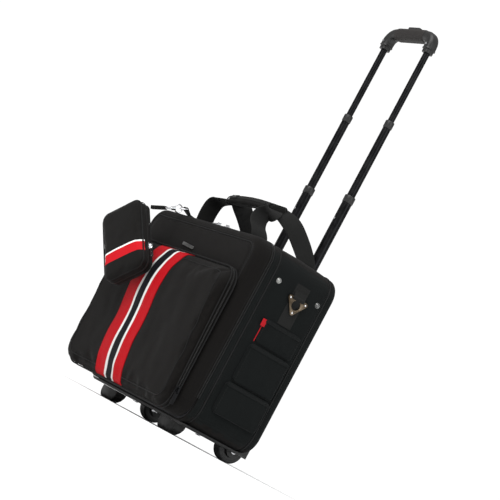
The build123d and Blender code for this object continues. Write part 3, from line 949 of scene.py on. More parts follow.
def make_case_shell():
    rings = [case_ring(-1.6 * MM, CASE_FRONT)]
    steps = 44
    front = CASE_FRONT + 1.6 * MM
    straight_end = CASE_REAR - REAR_ROUND
    for k in range(steps + 1):
        y = front + (straight_end - front) * k / steps
        rings.append(case_ring(seam_offset(y), y, relief=0.7 * MM * min(1, k / 4, (steps - k) / 4)))
    for inward, along in quarter_turn(6, first=1):
        rings.append(case_ring(-REAR_ROUND * inward, straight_end + REAR_ROUND * along))
    for k in range(1, 14):
        rings.append(case_ring(-REAR_ROUND, CASE_REAR - 0.6 * MM * (k % 2), 1 - k / 14))
    outer_count = len(rings)
    for k in range(14):
        rings.append(case_ring(-WALL, CASE_REAR - WALL, (k + 1) / 14))
    for y in (0.10, 0.06, 0.02, CASE_FRONT):
        rings.append(case_ring(-WALL, y))
    verts, faces = tray(rings, outer_count)
    panels = ("left_side_panel", "right_side_panel", "top_panel", "base_panel", "rear_panel")
    piece = add_piece("case_shell", verts, faces, "front", "black_nylon", "case", panels)
    rework(piece.data, join_rims, turn_outward)
    wells = []
    for near, far in ((WELL_INNER_X, WELL_OUTER_X), (-WELL_OUTER_X, -WELL_INNER_X)):
        wells.append(cutter_box((near, WELL_FRONT, 0.0), (far, BEHIND, WELL_TOP)))
    carve(piece, wells)
    piece.data.materials.clear()
    for look in ("front", "side", "lining"):
        piece.data.materials.append(MATERIALS[look])
    for face in piece.data.polygons:
        if inside_case(face.center):
            face.material_index = 2
        elif abs(face.normal.x) > 0.75:
            face.material_index = 1


def join_rims(build):
    bmesh.ops.remove_doubles(build, verts=build.verts, dist=0.001 * MM)


def inside_case(spot):
    """Whether a spot on the shell is on its lining."""
    half_x, half_z = CASE_HALF
    x = abs(spot.x)
    z = abs(spot.z - CASE_MIDDLE_Z)
    corner = math.hypot(max(0, x - (half_x - CASE_CORNER)), max(0, z - (half_z - CASE_CORNER)))
    within = x < half_x - LINING_DEPTH and z < half_z - LINING_DEPTH and spot.y < CASE_REAR - 3 * MM
    return within and corner < CASE_CORNER - LINING_DEPTH


def tray(rings, outer_count):
    """Verts and faces of an open tray: its outer rings, then its inner ones, and the lip between."""
    outer = loft(rings[:outer_count], caps=(False, True))
    inner = loft(rings[outer_count:], caps=(True, False))
    lip = loft([rings[-1], rings[0]])
    return merged([outer, inner, lip])


def make_case_seams():
    """Piping along the front and rear seams, with a stitch row beside each."""
    rows = []
    for y, word in zip(SEAM_YS, ("front", "rear")):
        path = case_ring(-0.2 * MM, y)
        ups = outward(path, CASE_MIDDLE_Z)
        cord_tube(f"{word}_seam_piping", path, ups, 1.5 * MM, "case", closed=True)
        for shift in (-4 * MM, 4 * MM):
            row = case_ring(seam_offset(y + shift) + 0.1 * MM, y + shift)
            rows.append((row + row[:1], ups + ups[:1], 4.2 * MM))
    stitches("case_seam_stitches", rows, (2.8, 0.7, 0.35), "case")


def open_below(points, end_z):
    """A ring round the case that is cut open at its bottom and kept above a height."""
    lowest = min(range(len(points)), key=lambda k: (points[k].z, abs(points[k].x)))
    points = points[lowest:] + points[:lowest]
    return [point for point in points if point.z > end_z]


def make_main_zip():
    """Each half of the coil goes with its own side, so the halves part when the door opens."""
    halves = (
        (CASE_FRONT + 1.3 * MM, 5 * MM, "case", "case"),
        (DOOR_REAR - 1.3 * MM, -5 * MM, "front_door", "door"),
    )
    for y, to_tape, body, word in halves:
        path = open_below(case_ring(0.2 * MM, y), ZIP_END_Z)
        ups = outward(path, CASE_MIDDLE_Z)
        zip_coil(f"{word}_zip_coil", path, ups, 2.3, (1.5, 2.4, 1.0), body)
        tape = open_below(case_ring(0.5 * MM, y + to_tape), ZIP_END_Z)
        stitches(f"{word}_zip_stitches", [(tape, ups, 4 * MM)], (2.6, 0.6, 0.3), body)


# ---- the front door and its pocket ---------------------------------------------------------
def door_ring(offset, y, scale=1.0, relief=0.0):
    return case_ring(offset, y, scale, DOOR_HALF, DOOR_MIDDLE_Z, relief)


def make_door_shell():
    rings = [door_ring(-1.6 * MM, DOOR_REAR)]
    rear = DOOR_REAR - 1.6 * MM
    straight_end = DOOR_FRONT + DOOR_ROUND
    steps = 8
    for k in range(steps + 1):
        y = rear + (straight_end - rear) * k / steps
        rings.append(door_ring(0.8 * MM * math.sin(math.pi * k / steps), y, relief=0.5 * MM * min(1, k / 2)))
    for inward, along in quarter_turn(6, first=1):
        rings.append(door_ring(-DOOR_ROUND * inward, straight_end - DOOR_ROUND * along))
    for inset, dip in ((13.5, 0.2), (15.0, 1.4), (16.5, 0.2)):
        rings.append(door_ring(-inset * MM, DOOR_FRONT + dip * MM))
    face_steps = 16
    for k in range(1, face_steps):
        scale = 1 - k / face_steps
        ring = []
        for point in door_ring(-16.5 * MM, DOOR_FRONT, scale):
            above = max(0.0, min(1.0, (point.z - POCKET_TOP) / (20 * MM)))
            swell = (1.6 * MM * (1 - scale**4) + 0.8 * MM * noise.noise(point * 34)) * above
            ring.append(point + Vector((0, -swell, 0)))
        rings.append(ring)
    outer_count = len(rings)
    for k in range(12):
        rings.append(door_ring(-WALL, DOOR_FRONT + WALL, (k + 1) / 12))
    for y in (-0.045, -0.035, DOOR_REAR):
        rings.append(door_ring(-WALL, y))
    verts, faces = tray(rings, outer_count)
    piece = add_piece("door_shell", verts, faces, "front", "black_nylon", "front_door", ("front_door",))

    path = door_ring(-15.0 * MM, DOOR_FRONT + 0.4 * MM)
    forward = Vector((0, -1, 0))
    cord_tube("door_welt", path, forward, 1.2 * MM, "front_door", closed=True)
    rows = []
    for inset, depth in ((11.5, 0.1), (19.0, 0.05)):
        row = door_ring(-inset * MM, DOOR_FRONT + depth * MM)
        rows.append((row + row[:1], forward, 4.2 * MM))
    stitches("door_stitches", rows, (2.8, 0.7, 0.35), "front_door")


def pocket_front(z):
    """How far forward the pocket reaches at a height."""
    for (low_z, low_y), (high_z, high_y) in zip(POCKET_PROFILE, POCKET_PROFILE[1:]):
        if z <= high_z:
            part = max(0.0, (z - low_z) / (high_z - low_z))
            return low_y + (high_y - low_y) * part
    return POCKET_PROFILE[-1][1]


def pocket_ring(inset, depth, scale=1.0):
    """Points round the pocket, which sags at its lower left. Depth is 0 at the door and 1 in front."""
    points = []
    for x, z in rounded_outline(POCKET_HALF[0] - inset, POCKET_HALF[1] - inset, max(MM, CASE_CORNER - inset)):
        height = POCKET_MIDDLE_Z + z * scale
        left = max(0.0, min(1.0, (-x * scale - 0.10) / 0.106)) ** 2
        low = 1 - 0.5 * (height - 0.031) / 0.266
        y = POCKET_REAR + (pocket_front(height) - POCKET_REAR - 7 * MM * left * low) * depth
        points.append(Vector((x * scale - 11 * MM * left * low, y, height)))
    return points


def make_pocket():
    rings = []
    for depth in (0, 0.12, 0.3, 0.5):
        rings.append(pocket_ring(0.8 * MM * math.sin(depth * 25), depth))
    edge = 9 * MM
    for inward, along in quarter_turn(6):
        rings.append(pocket_ring(edge * inward, 0.62 + 0.38 * along))
    steps = 20
    for k in range(1, steps):
        scale = 1 - k / steps
        ring = []
        for point in pocket_ring(edge, 1.0, scale):
            swell = 3.0 * MM * (1 - scale**3)
            folds = noise.noise(Vector((point.x * 26, 0, point.z * 11)))
            folds += 0.5 * noise.noise(Vector((point.x * 55 + 9, 2, point.z * 30)))
            ring.append(point + Vector((0, -swell - 1.6 * MM * folds * (1 - scale**6), 0)))
        rings.append(ring)
    verts, faces = loft(rings, caps=(True, True))
    piece = add_piece("pocket", verts, faces, "front", "black_nylon", "front_door", ("front_pocket",))
    inflate(piece, 3.5 * MM, held=lambda spot: spot.y > POCKET_REAR - 6 * MM)
    return piece


def on_front(piece, x, z, lift):
    """The point in front of x and z where a piece's skin lies, lifted off it."""
    hit, place, normal, _ = piece.ray_cast(Vector((x, -0.5, z)), Vector((0, 1, 0)))
    if not hit:
        return Vector((x, POCKET_REAR - lift, z)), Vector((0, -1, 0))
    return place + normal * lift, normal


def ribbon_shift(z):
    """How far the ribbon strays sideways at a height: it sways, and bends over at the top."""
    sway = 2.2 * MM * math.sin(2 * math.pi * (z - 0.098) / 0.108 - math.pi / 2) - 1.2 * MM
    return sway + 9 * MM * (max(0.0, z - 0.225) / 0.07) ** 2


def ribbon_x(z, across):
    """The place on the case of a thread of the ribbon, across from its left edge."""
    return RIBBON_X - RIBBON_WIDTH / 2 + across + ribbon_shift(z)


def make_ribbon(pocket):
    """The striped webbing lies on the pocket and turns in over its top edge."""
    rows, columns = 66, 24
    widths = [RIBBON_WIDTH * (k / columns) for k in range(columns + 1)]
    rings = []
    uvs = []
    travelled = 0.0
    previous = None
    for row in range(rows):
        z = RIBBON_LOW + (RIBBON_HIGH - RIBBON_LOW) * (row / (rows - 1))
        front, back = [], []
        for across in widths:
            x = ribbon_x(z, across)
            place, normal = on_front(pocket, x, z, 0)
            ripple = 0.25 * MM * noise.noise(Vector((x * 60, 5, z * 40)))
            front.append(place + normal * (1.3 * MM + ripple))
            back.append(place + normal * 0.2 * MM)
        if previous is not None:
            travelled += (front[columns // 2] - previous).length
        previous = front[columns // 2]
        rings.append(front + back[::-1])
        uvs.extend((width, travelled) for width in widths + widths[::-1])
    verts, faces = loft(rings, caps=(True, True))
    uvs.extend((0.05, travelled) for _ in range(len(verts) - len(uvs)))
    stands_for = ("striped_ribbon",)
    piece = add_piece(
        "ribbon", verts, faces, "ribbon", "striped_webbing", "front_door", stands_for, uvs=uvs, sharp=60
    )

    stitch_rows = []
    path_rows = 60
    for edge in (2.2 * MM, RIBBON_WIDTH - 2.2 * MM):
        path = []
        for k in range(path_rows):
            z = RIBBON_LOW + (RIBBON_HIGH - 4 * MM - RIBBON_LOW) * (k / (path_rows - 1))
            path.append(on_front(pocket, ribbon_x(z, edge), z, 1.4 * MM)[0])
        stitch_rows.append((path, Vector((0, -1, 0)), 3.8 * MM))
    stitches("ribbon_stitches", stitch_rows, (2.6, 0.55, 0.3), "front_door", "red_thread")


def make_pocket_seams(pocket):
    """The pocket's zip, its binding and the welts round its gusset."""
    for depth, radius, word in ((0.14, 1.3 * MM, "rear"), (0.60, 1.0 * MM, "front")):
        path = pocket_ring(-0.6 * MM, depth)
        ups = outward(path, POCKET_MIDDLE_Z)
        cord_tube(f"pocket_{word}_welt", path, ups, radius, "front_door", closed=True)
    coil = open_below(pocket_ring(-0.7 * MM, 0.38), POCKET_ZIP_END_Z)
    zip_coil("pocket_zip_coil", coil, outward(coil, POCKET_MIDDLE_Z), 2.3, (1.5, 3.2, 0.9), "front_door")
    forward = Vector((0, -1, 0))
    seam = path_on_face(pocket, 15 * MM, 0.25 * MM)
    cord_tube("pocket_face_seam", seam, forward, 0.9 * MM, "front_door", closed=True)
    row = path_on_face(pocket, 18.5 * MM, 0.15 * MM)
    stitches("pocket_stitches", [(row + row[:1], forward, 4.2 * MM)], (2.8, 0.6, 0.3), "front_door")


def path_on_face(pocket, inset, lift):
    """A ring on the pocket's face, as far as the inset from its sides."""
    return [on_front(pocket, point.x, point.z, lift)[0] for point in pocket_ring(inset, 1.0)]


def make_tag():
    """The small plain metal plate over the pocket, which leans a little."""
    across = Vector((1, 0, -0.08)).normalized()
    up = Vector((0.08, 0, 1)).normalized()
    out = Vector((0, -1, 0))
    turn = Matrix((across, up, out)).transposed().to_4x4()
    place = Matrix.Translation(TAG_MIDDLE) @ turn
    cushion(
        "tag", place, (0.022, 0.003), 1.5 * MM, 1.4 * MM, 0.5 * MM, 0.2 * MM,
        "snap", "bright_metal", "front_door", ("front_tag",), 0.02 * MM,
    )


# ---- back cover and wheel wells ------------------------------------------------------------
TUBE_X = 0.0715
TUBE_Y = 0.141
SLEEVE_ROOM = 0.0114
SLEEVE_BOTTOM = 0.036
ABOVE = 0.5


def make_well_covers():
    """The lining's boxes over the wheel housings, inside the case."""
    for side, word in SIDE_WORDS:
        place = Matrix.Translation((side * 0.152, 0.1015, 0.030))
        cover = cushion(
            f"{word}_well_cover", place, (0.0245, 0.0228), 0.006, 0.0335, 0.004, 0.3 * MM,
            "lining", "black_nylon", "case", folds=0.1 * MM,
        )
        room = 0.5 * MM
        low_x, high_x = sorted((side * (WELL_INNER_X - room), side * (WELL_OUTER_X + room)))
        carve(cover, [cutter_box((low_x, WELL_FRONT - room, 0.0), (high_x, BEHIND, WELL_TOP + 0.3 * MM))])


def make_back_cover():
    """The raised channel at the back that the trolley slides in."""
    turn = Matrix(((-1, 0, 0), (0, 0, 1), (0, 1, 0))).transposed().to_4x4()
    place = Matrix.Translation((0, 0.1304, 0.202)) @ turn
    piece = cushion(
        "back_cover", place, (0.098, 0.168), 0.014, 0.0235, 0.008, 1.6 * MM,
        "front", "black_nylon", "case", ("trolley_back_cover",), 0.5 * MM,
    )
    channels = []
    for side in SIDES:
        x = side * TUBE_X
        channels.append(cutter_rod(SLEEVE_ROOM, (x, TUBE_Y, SLEEVE_BOTTOM), (x, TUBE_Y, ABOVE)))
    carve(piece, channels)
    lift = 20.7 * MM
    path = [place @ Vector((u, v, lift)) for u, v in rounded_outline(0.0962, 0.1662, 0.0122)]
    ups = away_from(place @ Vector((0, 0, lift)), path)
    cord_tube("back_cover_welt", path[30:-30], ups[30:-30], 1.1 * MM, "case")


# ---- sides ---------------------------------------------------------------------------------
# The side pockets: low and high y, low and high z, and thickness, in millimetres.
SIDE_TIERS = (
    ("upper", 20, 104, 204, 250, 4.6),
    ("middle", 16, 106, 128, 201, 6.4),
    ("lower", 10, 108, 66, 125, 7.4),
)
RING_Y = 0.059
BAR_Z = 0.305
RIVET_SPOTS = ((0.0085, 0.316), (0.101, 0.314))
# Profiles of round pieces: radius and height, in millimetres.
STUD_PROFILE = ((1.7, 0), (1.7, 0.4), (1.1, 0.9), (0.3, 1.1))
RIVET_PROFILE = ((4.8, 0), (5.0, 0.5), (4.5, 1.0), (3.6, 0.9), (3.2, 1.7), (2.2, 2.5), (0.8, 2.8))
SNAP_PROFILE = ((3.0, 0), (3.0, 0.8), (2.0, 1.4), (0.6, 1.6))


def make_side_fittings():
    for side, word in SIDE_WORDS:
        out = Vector((side, 0, 0))
        rows = []
        for tier, low_y, high_y, low_z, high_z, thick in SIDE_TIERS:
            middle_y = (low_y + high_y) / 2
            half = ((high_y - low_y) / 2 * MM, (high_z - low_z) / 2 * MM)
            place = side_place(side, middle_y * MM, (low_z + high_z) / 2 * MM, SIDE_FACE - 1 * MM)
            stands_for = (f"{tier}_side_pockets",) if side > 0 else ()
            cushion(
                f"{word}_{tier}_pocket", place, half, 8 * MM, thick * MM, 3.4 * MM, 1.2 * MM,
                "side", "side_nylon", "case", stands_for, 0.7 * MM,
            )
            x = side * (SIDE_FACE + (thick - 0.3) * MM)
            mouth_ys = (low_y + 1.5, middle_y, high_y - 1.5)
            mouth = resample([Vector((x, y * MM, (high_z - 5) * MM)) for y in mouth_ys], 20)
            strap(f"{word}_{tier}_binding", mouth, out, 4.5 * MM, 1.0 * MM, "case", look="side_tape")
            for y in (low_y + 4, high_y - 4):
                line = [Vector((x - side * 0.2 * MM, y * MM, z * MM)) for z in (low_z + 4, high_z - 11)]
                rows.append((line, out, 4.2 * MM))
        stitches(f"{word}_side_stitches", rows, (2.8, 0.6, 0.35), "case")
        make_ring_tab(side, word, out)
        make_ring(side, word)
        make_rivets(side, word)


def make_ring_tab(side, word, out):
    """The webbing tab, the loop that holds the ring, and their stitches."""
    tab_x = side * (SIDE_FACE + 1.0 * MM)
    tab = [Vector((tab_x, RING_Y, z)) for z in (0.252, 0.290, 0.330)]
    stands_for = ("ring_tabs",) if side > 0 else ()
    strap(f"{word}_ring_tab", resample(tab, 30), out, 30 * MM, 1.6 * MM, "case", stands_for)
    loop_x = side * (SIDE_FACE + 1.9 * MM)
    bar = Vector((side * (SIDE_FACE + 3.2 * MM), RING_Y, BAR_Z))
    loop = [Vector((loop_x, RING_Y, BAR_Z - 0.014))]
    for k in range(9):
        angle = math.radians(-70 + 140 * k / 8)
        loop.append(bar + Vector((side * math.cos(angle), 0, math.sin(angle))) * 3.6 * MM)
    loop.append(Vector((loop_x, RING_Y, BAR_Z + 0.014)))
    strap(f"{word}_ring_loop", rounded_path(loop, 30, 1), out, 25 * MM, 1.2 * MM, "case")
    x = side * (SIDE_FACE + 1.75 * MM)
    low_y, high_y = RING_Y - 0.012, RING_Y + 0.012
    rows = []
    for low_z, high_z in ((0.256, 0.276), (0.320, 0.328)):
        corners = [(low_y, low_z), (high_y, low_z), (high_y, high_z), (low_y, high_z), (low_y, low_z)]
        corners.append((high_y, high_z))
        for start, end in zip(corners, corners[1:]):
            rows.append(([Vector((x, *start)), Vector((x, *end))], out, 3.2 * MM))
    stitches(f"{word}_tab_stitches", rows, (2.2, 0.6, 0.4), "case")


def make_ring(side, word):
    """The triangular plate ring, with a round eye and a stud in each corner."""
    ring_x = SIDE_FACE + 4.4 * MM
    plate_top = BAR_Z - 2.3 * MM
    corners = [(0.0415, plate_top), (0.0765, plate_top), (RING_Y, 0.2795)]
    centre = Vector((RING_Y, 0.2940))
    count = 72
    outline, hole = [], []
    for k in range(count):
        angle = 2 * math.pi * k / count
        ray = Vector((math.cos(angle), math.sin(angle)))
        reach = triangle_reach(corners, centre, ray, 4.2 * MM)
        outline.append(centre + ray * reach)
        hole.append(centre + ray * min(8.6 * MM, reach - 3 * MM))
    rings = []
    for line, grow, height in (
        (outline, 0, -1.4),
        (outline, 0, 0.7),
        (outline, -0.05, 1.3),
        (hole, 0.09, 1.3),
        (hole, 0, 0.7),
        (hole, 0, -1.4),
    ):
        x = side * (ring_x + height * MM)
        rings.append([Vector((x, *(spot + (spot - centre) * grow))) for spot in line])
    verts, faces = loft(rings, wrap=True)
    stands_for = (f"{word}_d_ring",)
    add_piece(
        f"{word}_ring", verts, faces, "antique", "antique_metal", f"{word}_ring", stands_for, sharp=50
    )
    studs = []
    for corner in corners:
        spot = centre + (Vector(corner) - centre) * 0.98
        studs.append(lathe(STUD_PROFILE, side_place(side, spot.x, spot.y, ring_x + 1.0 * MM)))
    add_piece(f"{word}_ring_studs", *merged(studs), "nickel", "bright_metal", f"{word}_ring")


def make_rivets(side, word):
    domes = [lathe(RIVET_PROFILE, side_place(side, y, z, SIDE_FACE)) for y, z in RIVET_SPOTS]
    stands_for = ("side_rivets",) if side > 0 else ()
    add_piece(f"{word}_rivets", *merged(domes), "snap", "bright_metal", "case", stands_for)


def triangle_reach(corners, centre, ray, radius):
    """How far a rounded triangle reaches from its centre along a ray."""
    reach = 0.0
    step = 0.1 * MM
    while rounded_inside(corners, centre + ray * (reach + step), radius):
        reach += step
    return reach


def rounded_inside(corners, spot, radius):
    """Whether a spot is within a radius of the triangle."""
    spots = [Vector(corner) for corner in corners]
    middle = (spots[0] + spots[1] + spots[2]) / 3
    inside = True
    nearest = 1.0
    for k, start in enumerate(spots):
        edge = spots[(k + 1) % 3] - start
        normal = Vector((edge.y, -edge.x)).normalized()
        if (middle - start).dot(normal) > 0:
            normal = -normal
        if (spot - start).dot(normal) > 0:
            inside = False
        along = max(0.0, min(1.0, (spot - start).dot(edge) / edge.length_squared))
        nearest = min(nearest, (spot - start - edge * along).length)
    return inside or nearest < radius


def make_red_tag():
    """A red tag in the front edge of the right upper pocket, and the binding under it."""
    out = Vector((1, 0, 0))
    tag = resample([Vector((SIDE_FACE + 3.9 * MM, 0.019, z)) for z in (0.234, 0.2475)], 8)
    strap("red_tag", tag, out, 9 * MM, 1.2 * MM, "case", look="red", slot="striped_webbing")
    line = resample([Vector((SIDE_FACE + 1.6 * MM, 0.0195, z)) for z in (0.205, 0.22, 0.236)], 16)
    cord_tube("red_binding", line, out, 0.8 * MM, "case", "red", "striped_webbing")


# ---- carry handles -------------------------------------------------------------------------
STRAP_WIDTH = 36 * MM
STRAP_THICKNESS = 3 * MM
STRAP_X = 0.106
WRAP_START = Vector((-0.066, 0.010, 0.4325))
WRAP_END = Vector((0.071, 0.020, 0.4405))
WRAP_HALF = (0.0195, 0.0075)


def strap_leg(name, points, widths, stands_for=()):
    """A handle's leg. Widths are the directions across the strap, from its start to its end."""
    path = rounded_path([Vector(point) * MM for point in points], 64)
    ups = []
    for k, point in enumerate(path):
        spot = (len(widths) - 1) * k / (len(path) - 1)
        index = min(int(spot), len(widths) - 2)
        across = Vector(widths[index]).lerp(Vector(widths[index + 1]), spot - index)
        along = path[min(k + 1, len(path) - 1)] - path[max(k - 1, 0)]
        ups.append(across.cross(along).normalized())
    return strap(name, path, ups, STRAP_WIDTH, STRAP_THICKNESS, "case", stands_for)


def make_handles():
    strap_leg(
        "front_strap_left",
        [(-106, -6, 369.5), (-107, -8, 392), (-104, -7, 417), (-88, 0, 425), (-56, 9, 431)],
        [(0, 1, 0), (0, 1, 0.1), (0, 1, 0.2)],
        ("front_carry_strap",),
    )
    strap_leg(
        "front_strap_right",
        [(106, -6, 369.5), (102, -9, 384), (82, -12, 399), (76, -8, 416), (84, 3, 430), (62, 16, 438)],
        [(0, 1, 0), (0, 1, 0), (0, 1, 0.1), (0, 1, 0.2)],
    )
    strap_leg(
        "rear_strap_left",
        [(-106, 110, 369.5), (-104, 104, 384), (-96, 78, 408), (-86, 46, 428), (-56, 14, 436)],
        [(0, 1, 0), (0, 0.7, 0.7), (0, 0.62, 0.79), (0, 0.95, 0.3)],
        ("rear_carry_strap",),
    )
    strap_leg(
        "rear_strap_right",
        [(106, 110, 369.5), (104, 104, 384), (95, 80, 408), (87, 52, 430), (62, 24, 441)],
        [(0, 1, 0), (0, 0.7, 0.7), (0, 0.62, 0.79), (0, 0.95, 0.3)],
    )
    make_wrap()
    make_patches()


def wrap_spot(part, u, v):
    """A point of the sleeve: part along it, u across and v through it."""
    x = WRAP_START.lerp(WRAP_END, part)
    arch = 4 * MM * math.sin(math.pi * part)
    return x + Vector((0, u, v + arch + 0.22 * u))


def wrap_ring(part, grow):
    """The sleeve's outline at a part of its length, with small folds."""
    outline = rounded_outline(WRAP_HALF[0] * grow, WRAP_HALF[1] * grow, WRAP_HALF[1] * 0.92 * grow, 8, 8)
    ring = []
    for u, v in outline:
        bulge = 1 + 0.04 * noise.noise(Vector((part * 7, u * 60, v * 60)))
        ring.append(wrap_spot(part, u * bulge, v * bulge))
    return ring


def make_wrap():
    """The padded sleeve that joins the handles, with bound ends, a flap and a snap."""
    rings = []
    steps = 40
    for k in range(steps + 1):
        end = min(k, steps - k)
        rings.append(wrap_ring(k / steps, min(1.0, 0.72 + 0.28 * math.sqrt(min(1.0, end / 2.0)))))
    verts, faces = loft(rings, caps=(True, True))
    piece = add_piece("wrap", verts, faces, "wrap", "webbing", "case", ("handle_wrap",))
    for part, word in ((0.025, "left"), (0.975, "right")):
        ring = wrap_ring(part, 1.03)
        middle = wrap_spot(part, 0, 0)
        cord_tube(f"wrap_{word}_binding", ring, away_from(middle, ring), 1.2 * MM, "case", closed=True)
    down = Vector((0, -0.85, 0.5)).normalized()
    front = -WRAP_HALF[0] + 2.5 * MM
    flap = [wrap_spot(part, front, 5.2 * MM) for part in (0.05, 0.3, 0.5, 0.7, 0.95)]
    strap("wrap_flap", resample(flap, 40), down, 9 * MM, 1.6 * MM, "case")
    tab = [wrap_spot(part, front - 0.7 * MM, 6.0 * MM) for part in (0.06, 0.2)]
    strap("wrap_tab", resample(tab, 12), down, 10 * MM, 1.4 * MM, "case", look="piping")
    facing = down.to_track_quat("Z", "Y").to_matrix().to_4x4()
    place = Matrix.Translation(wrap_spot(0.13, front - 1.2 * MM, 6.6 * MM)) @ facing
    add_piece("wrap_snap", *lathe(SNAP_PROFILE, place), "snap", "bright_metal", "case")


def make_patches():
    """The stitched feet of the handles: a box and a cross line on each."""
    rows = []
    up = Vector((0, 0, 1))
    for side, word in SIDE_WORDS:
        for y, end in ((0.0, "front"), (0.090, "rear")):
            x = side * STRAP_X
            front = y - (0.0205 if end == "front" else 0.023)
            path = [Vector((x, front, 0.3693)), Vector((x, y, 0.3696)), Vector((x, y + 0.023, 0.3693))]
            stands_for = ("strap_patches",) if (side, end) == (1, "front") else ()
            strap(f"{word}_{end}_patch", resample(path, 20), up, 34 * MM, 2.2 * MM, "case", stands_for)
            corners = [(-14, -17), (14, -17), (14, 20), (-14, 20), (-14, -17), (14, 20)]
            spots = [Vector((x + u * MM, y + v * MM, 0.3709)) for u, v in corners]
            rows.extend(([start, end_spot], up, 3.2 * MM) for start, end_spot in zip(spots, spots[1:]))
    stitches("patch_stitches", rows, (2.2, 0.6, 0.4), "case")


# ---- hanging pouch -------------------------------------------------------------------------
POUCH_SIZE = (0.092, 0.038, 0.146)
POUCH_CORNER = Vector((-0.1022, -0.150, 0.3514))
POUCH_ROLL = math.radians(41)
POUCH_TURN = math.radians(15)
POUCH_ROUND = 17 * MM


def pouch_place():
    """The pouch's middle: it hangs rolled and turned from its top corner."""
    width, depth, height = POUCH_SIZE
    turn = Matrix.Rotation(POUCH_TURN, 4, "Z") @ Matrix.Rotation(-POUCH_ROLL, 4, "Y")
    middle = Matrix.Translation((-width / 2, depth / 2 - 4 * MM, -height / 2))
    return Matrix.Translation(POUCH_CORNER) @ turn @ middle


def pouch_ring(inset, y, scale=1.0):
    """Points round the pouch at a depth y. A smaller scale is nearer the middle of a face."""
    width, _, height = POUCH_SIZE
    corner = max(2 * MM, POUCH_ROUND - inset)
    points = []
    for x, z in rounded_outline(width / 2 - inset, height / 2 - inset, corner, 8, 14):
        swell = (1 - scale**2) * (0.8 * MM if y > 0 else -2.2 * MM)
        wave = 0.7 * MM * noise.noise(Vector((x * scale * 60, y * 60, z * scale * 60)))
        points.append(Vector((x * scale, y + swell + wave * (1 - scale), z * scale)))
    return points


def make_pouch():
    width, depth, height = POUCH_SIZE
    place = pouch_place()
    edge = 10 * MM
    half_depth = depth / 2 - 1.5 * MM
    face_rings = 9
    rings = [pouch_ring(edge, half_depth, k / face_rings) for k in range(1, face_rings)]
    for inward, along in quarter_turn(5):
        rings.append(pouch_ring(edge * (1 - along), half_depth - edge * inward))
    for inward, along in quarter_turn(5):
        rings.append(pouch_ring(edge * inward, -half_depth + edge * (1 - along)))
    rings.extend(pouch_ring(edge, -half_depth, k / face_rings) for k in range(face_rings - 1, 0, -1))
    verts, faces = loft(rings, caps=(True, True))
    piece = add_piece("pouch_body", verts, faces, "pouch", "black_nylon", "pouch", ("pouch",), place)
    inflate(piece, 1.5 * MM, 3.5 * MM)

    def seam(inset, y):
        outline = rounded_outline(width / 2 - inset, height / 2 - inset, POUCH_ROUND - inset, 8, 14)
        path = [place @ Vector((x, y, z)) for x, z in outline]
        return path, away_from(place @ Vector((0, 0, 0)), path)

    for y, word in ((-half_depth + 6 * MM, "front"), (half_depth - 6 * MM, "rear")):
        cord_tube(f"pouch_{word}_welt", *seam(0.6 * MM, y), 1.2 * MM, "pouch", closed=True)
    path, ups = seam(-0.6 * MM, 0)
    zip_coil("pouch_zip_coil", path + path[:1], ups + ups[:1], 2.2, (1.4, 3.0, 0.9), "pouch")
    across = (place.to_3x3() @ Vector((1, 0, 0))).normalized()
    ribs = []
    for k in range(20):
        z = height / 2 - 20 * MM - k * 5 * MM
        for side in SIDES:
            start = place @ Vector((width / 2 + 0.1 * MM, side * 3.2 * MM, z))
            end = place @ Vector((width / 2 - 1.2 * MM, side * (half_depth - 7 * MM), z))
            ribs.append(([start, end], across, 8 * MM))
    rows_of_blocks("pouch_gusset_ribs", ribs, (5 * MM, 1.6 * MM, 0.9 * MM), "pouch", "piping", "webbing")


# ---- trolley grip, collars and feet ---------------------------------------------------------
GRIP_MIDDLE_Z = 0.8715
SOCKET_FOOT_Z = 0.838
GRIP_STEPS = 160
RUBBER_HALF = 0.047


def grip_path():
    """The grip's centre line: up from one socket, over the bar and down to the other."""
    corners = [
        (-TUBE_X, SOCKET_FOOT_Z),
        (-TUBE_X, 0.846),
        (-0.0705, 0.861),
        (-0.0595, GRIP_MIDDLE_Z),
        (-0.042, GRIP_MIDDLE_Z + 0.5 * MM),
        (0, GRIP_MIDDLE_Z + 0.5 * MM),
    ]
    corners += [(-x, z) for x, z in reversed(corners[:-1])]
    return rounded_path([Vector((x, TUBE_Y, z)) for x, z in corners], GRIP_STEPS, 4)


def grip_ring(path, k, half_thick, half_deep):
    before, after = path[max(k - 1, 0)], path[min(k + 1, len(path) - 1)]
    across = (after - before).normalized().cross(Vector((0, 1, 0)))
    outline = rounded_outline(half_deep, half_thick, half_thick * 0.82, 8, 6)
    return [path[k] + Vector((0, deep, 0)) + across * thick for deep, thick in outline]


def make_grip():
    """A moulded grip that curves down into its sockets, with a ribbed rubber sleeve."""
    path = grip_path()
    rubber = [k for k in range(GRIP_STEPS) if abs(path[k].x) <= RUBBER_HALF]
    rings = []
    for k in rubber:
        edge = min(k - rubber[0], rubber[-1] - k)
        swell = 0.9 * MM * min(1.0, edge / 3) + 0.35 * MM * (k % 2)
        rings.append(grip_ring(path, k, 10.6 * MM + swell, 12.2 * MM + swell))
    verts, faces = loft(rings, caps=(True, True))
    add_piece(
        "grip_sleeve", verts, faces, "rubber", "grip_rubber", "upper_stage", ("grip_rubber",), sharp=70
    )

    parts = []
    for ends in (range(rubber[0] + 2), range(rubber[-1] - 1, GRIP_STEPS)):
        rings = []
        for k in ends:
            from_foot = min(k, GRIP_STEPS - 1 - k)
            neck = 1.4 * MM if from_foot < 6 else 0.0
            lip = 0.7 * MM if from_foot in (6, 7) else 0.0
            rings.append(grip_ring(path, k, 10.4 * MM - neck + lip, 11.8 * MM - neck + lip))
        parts.append(loft(rings, caps=(True, True)))
    add_piece(
        "grip_ends", *merged(parts), "plastic", "black_plastic", "upper_stage", ("grip_frame",), sharp=50
    )


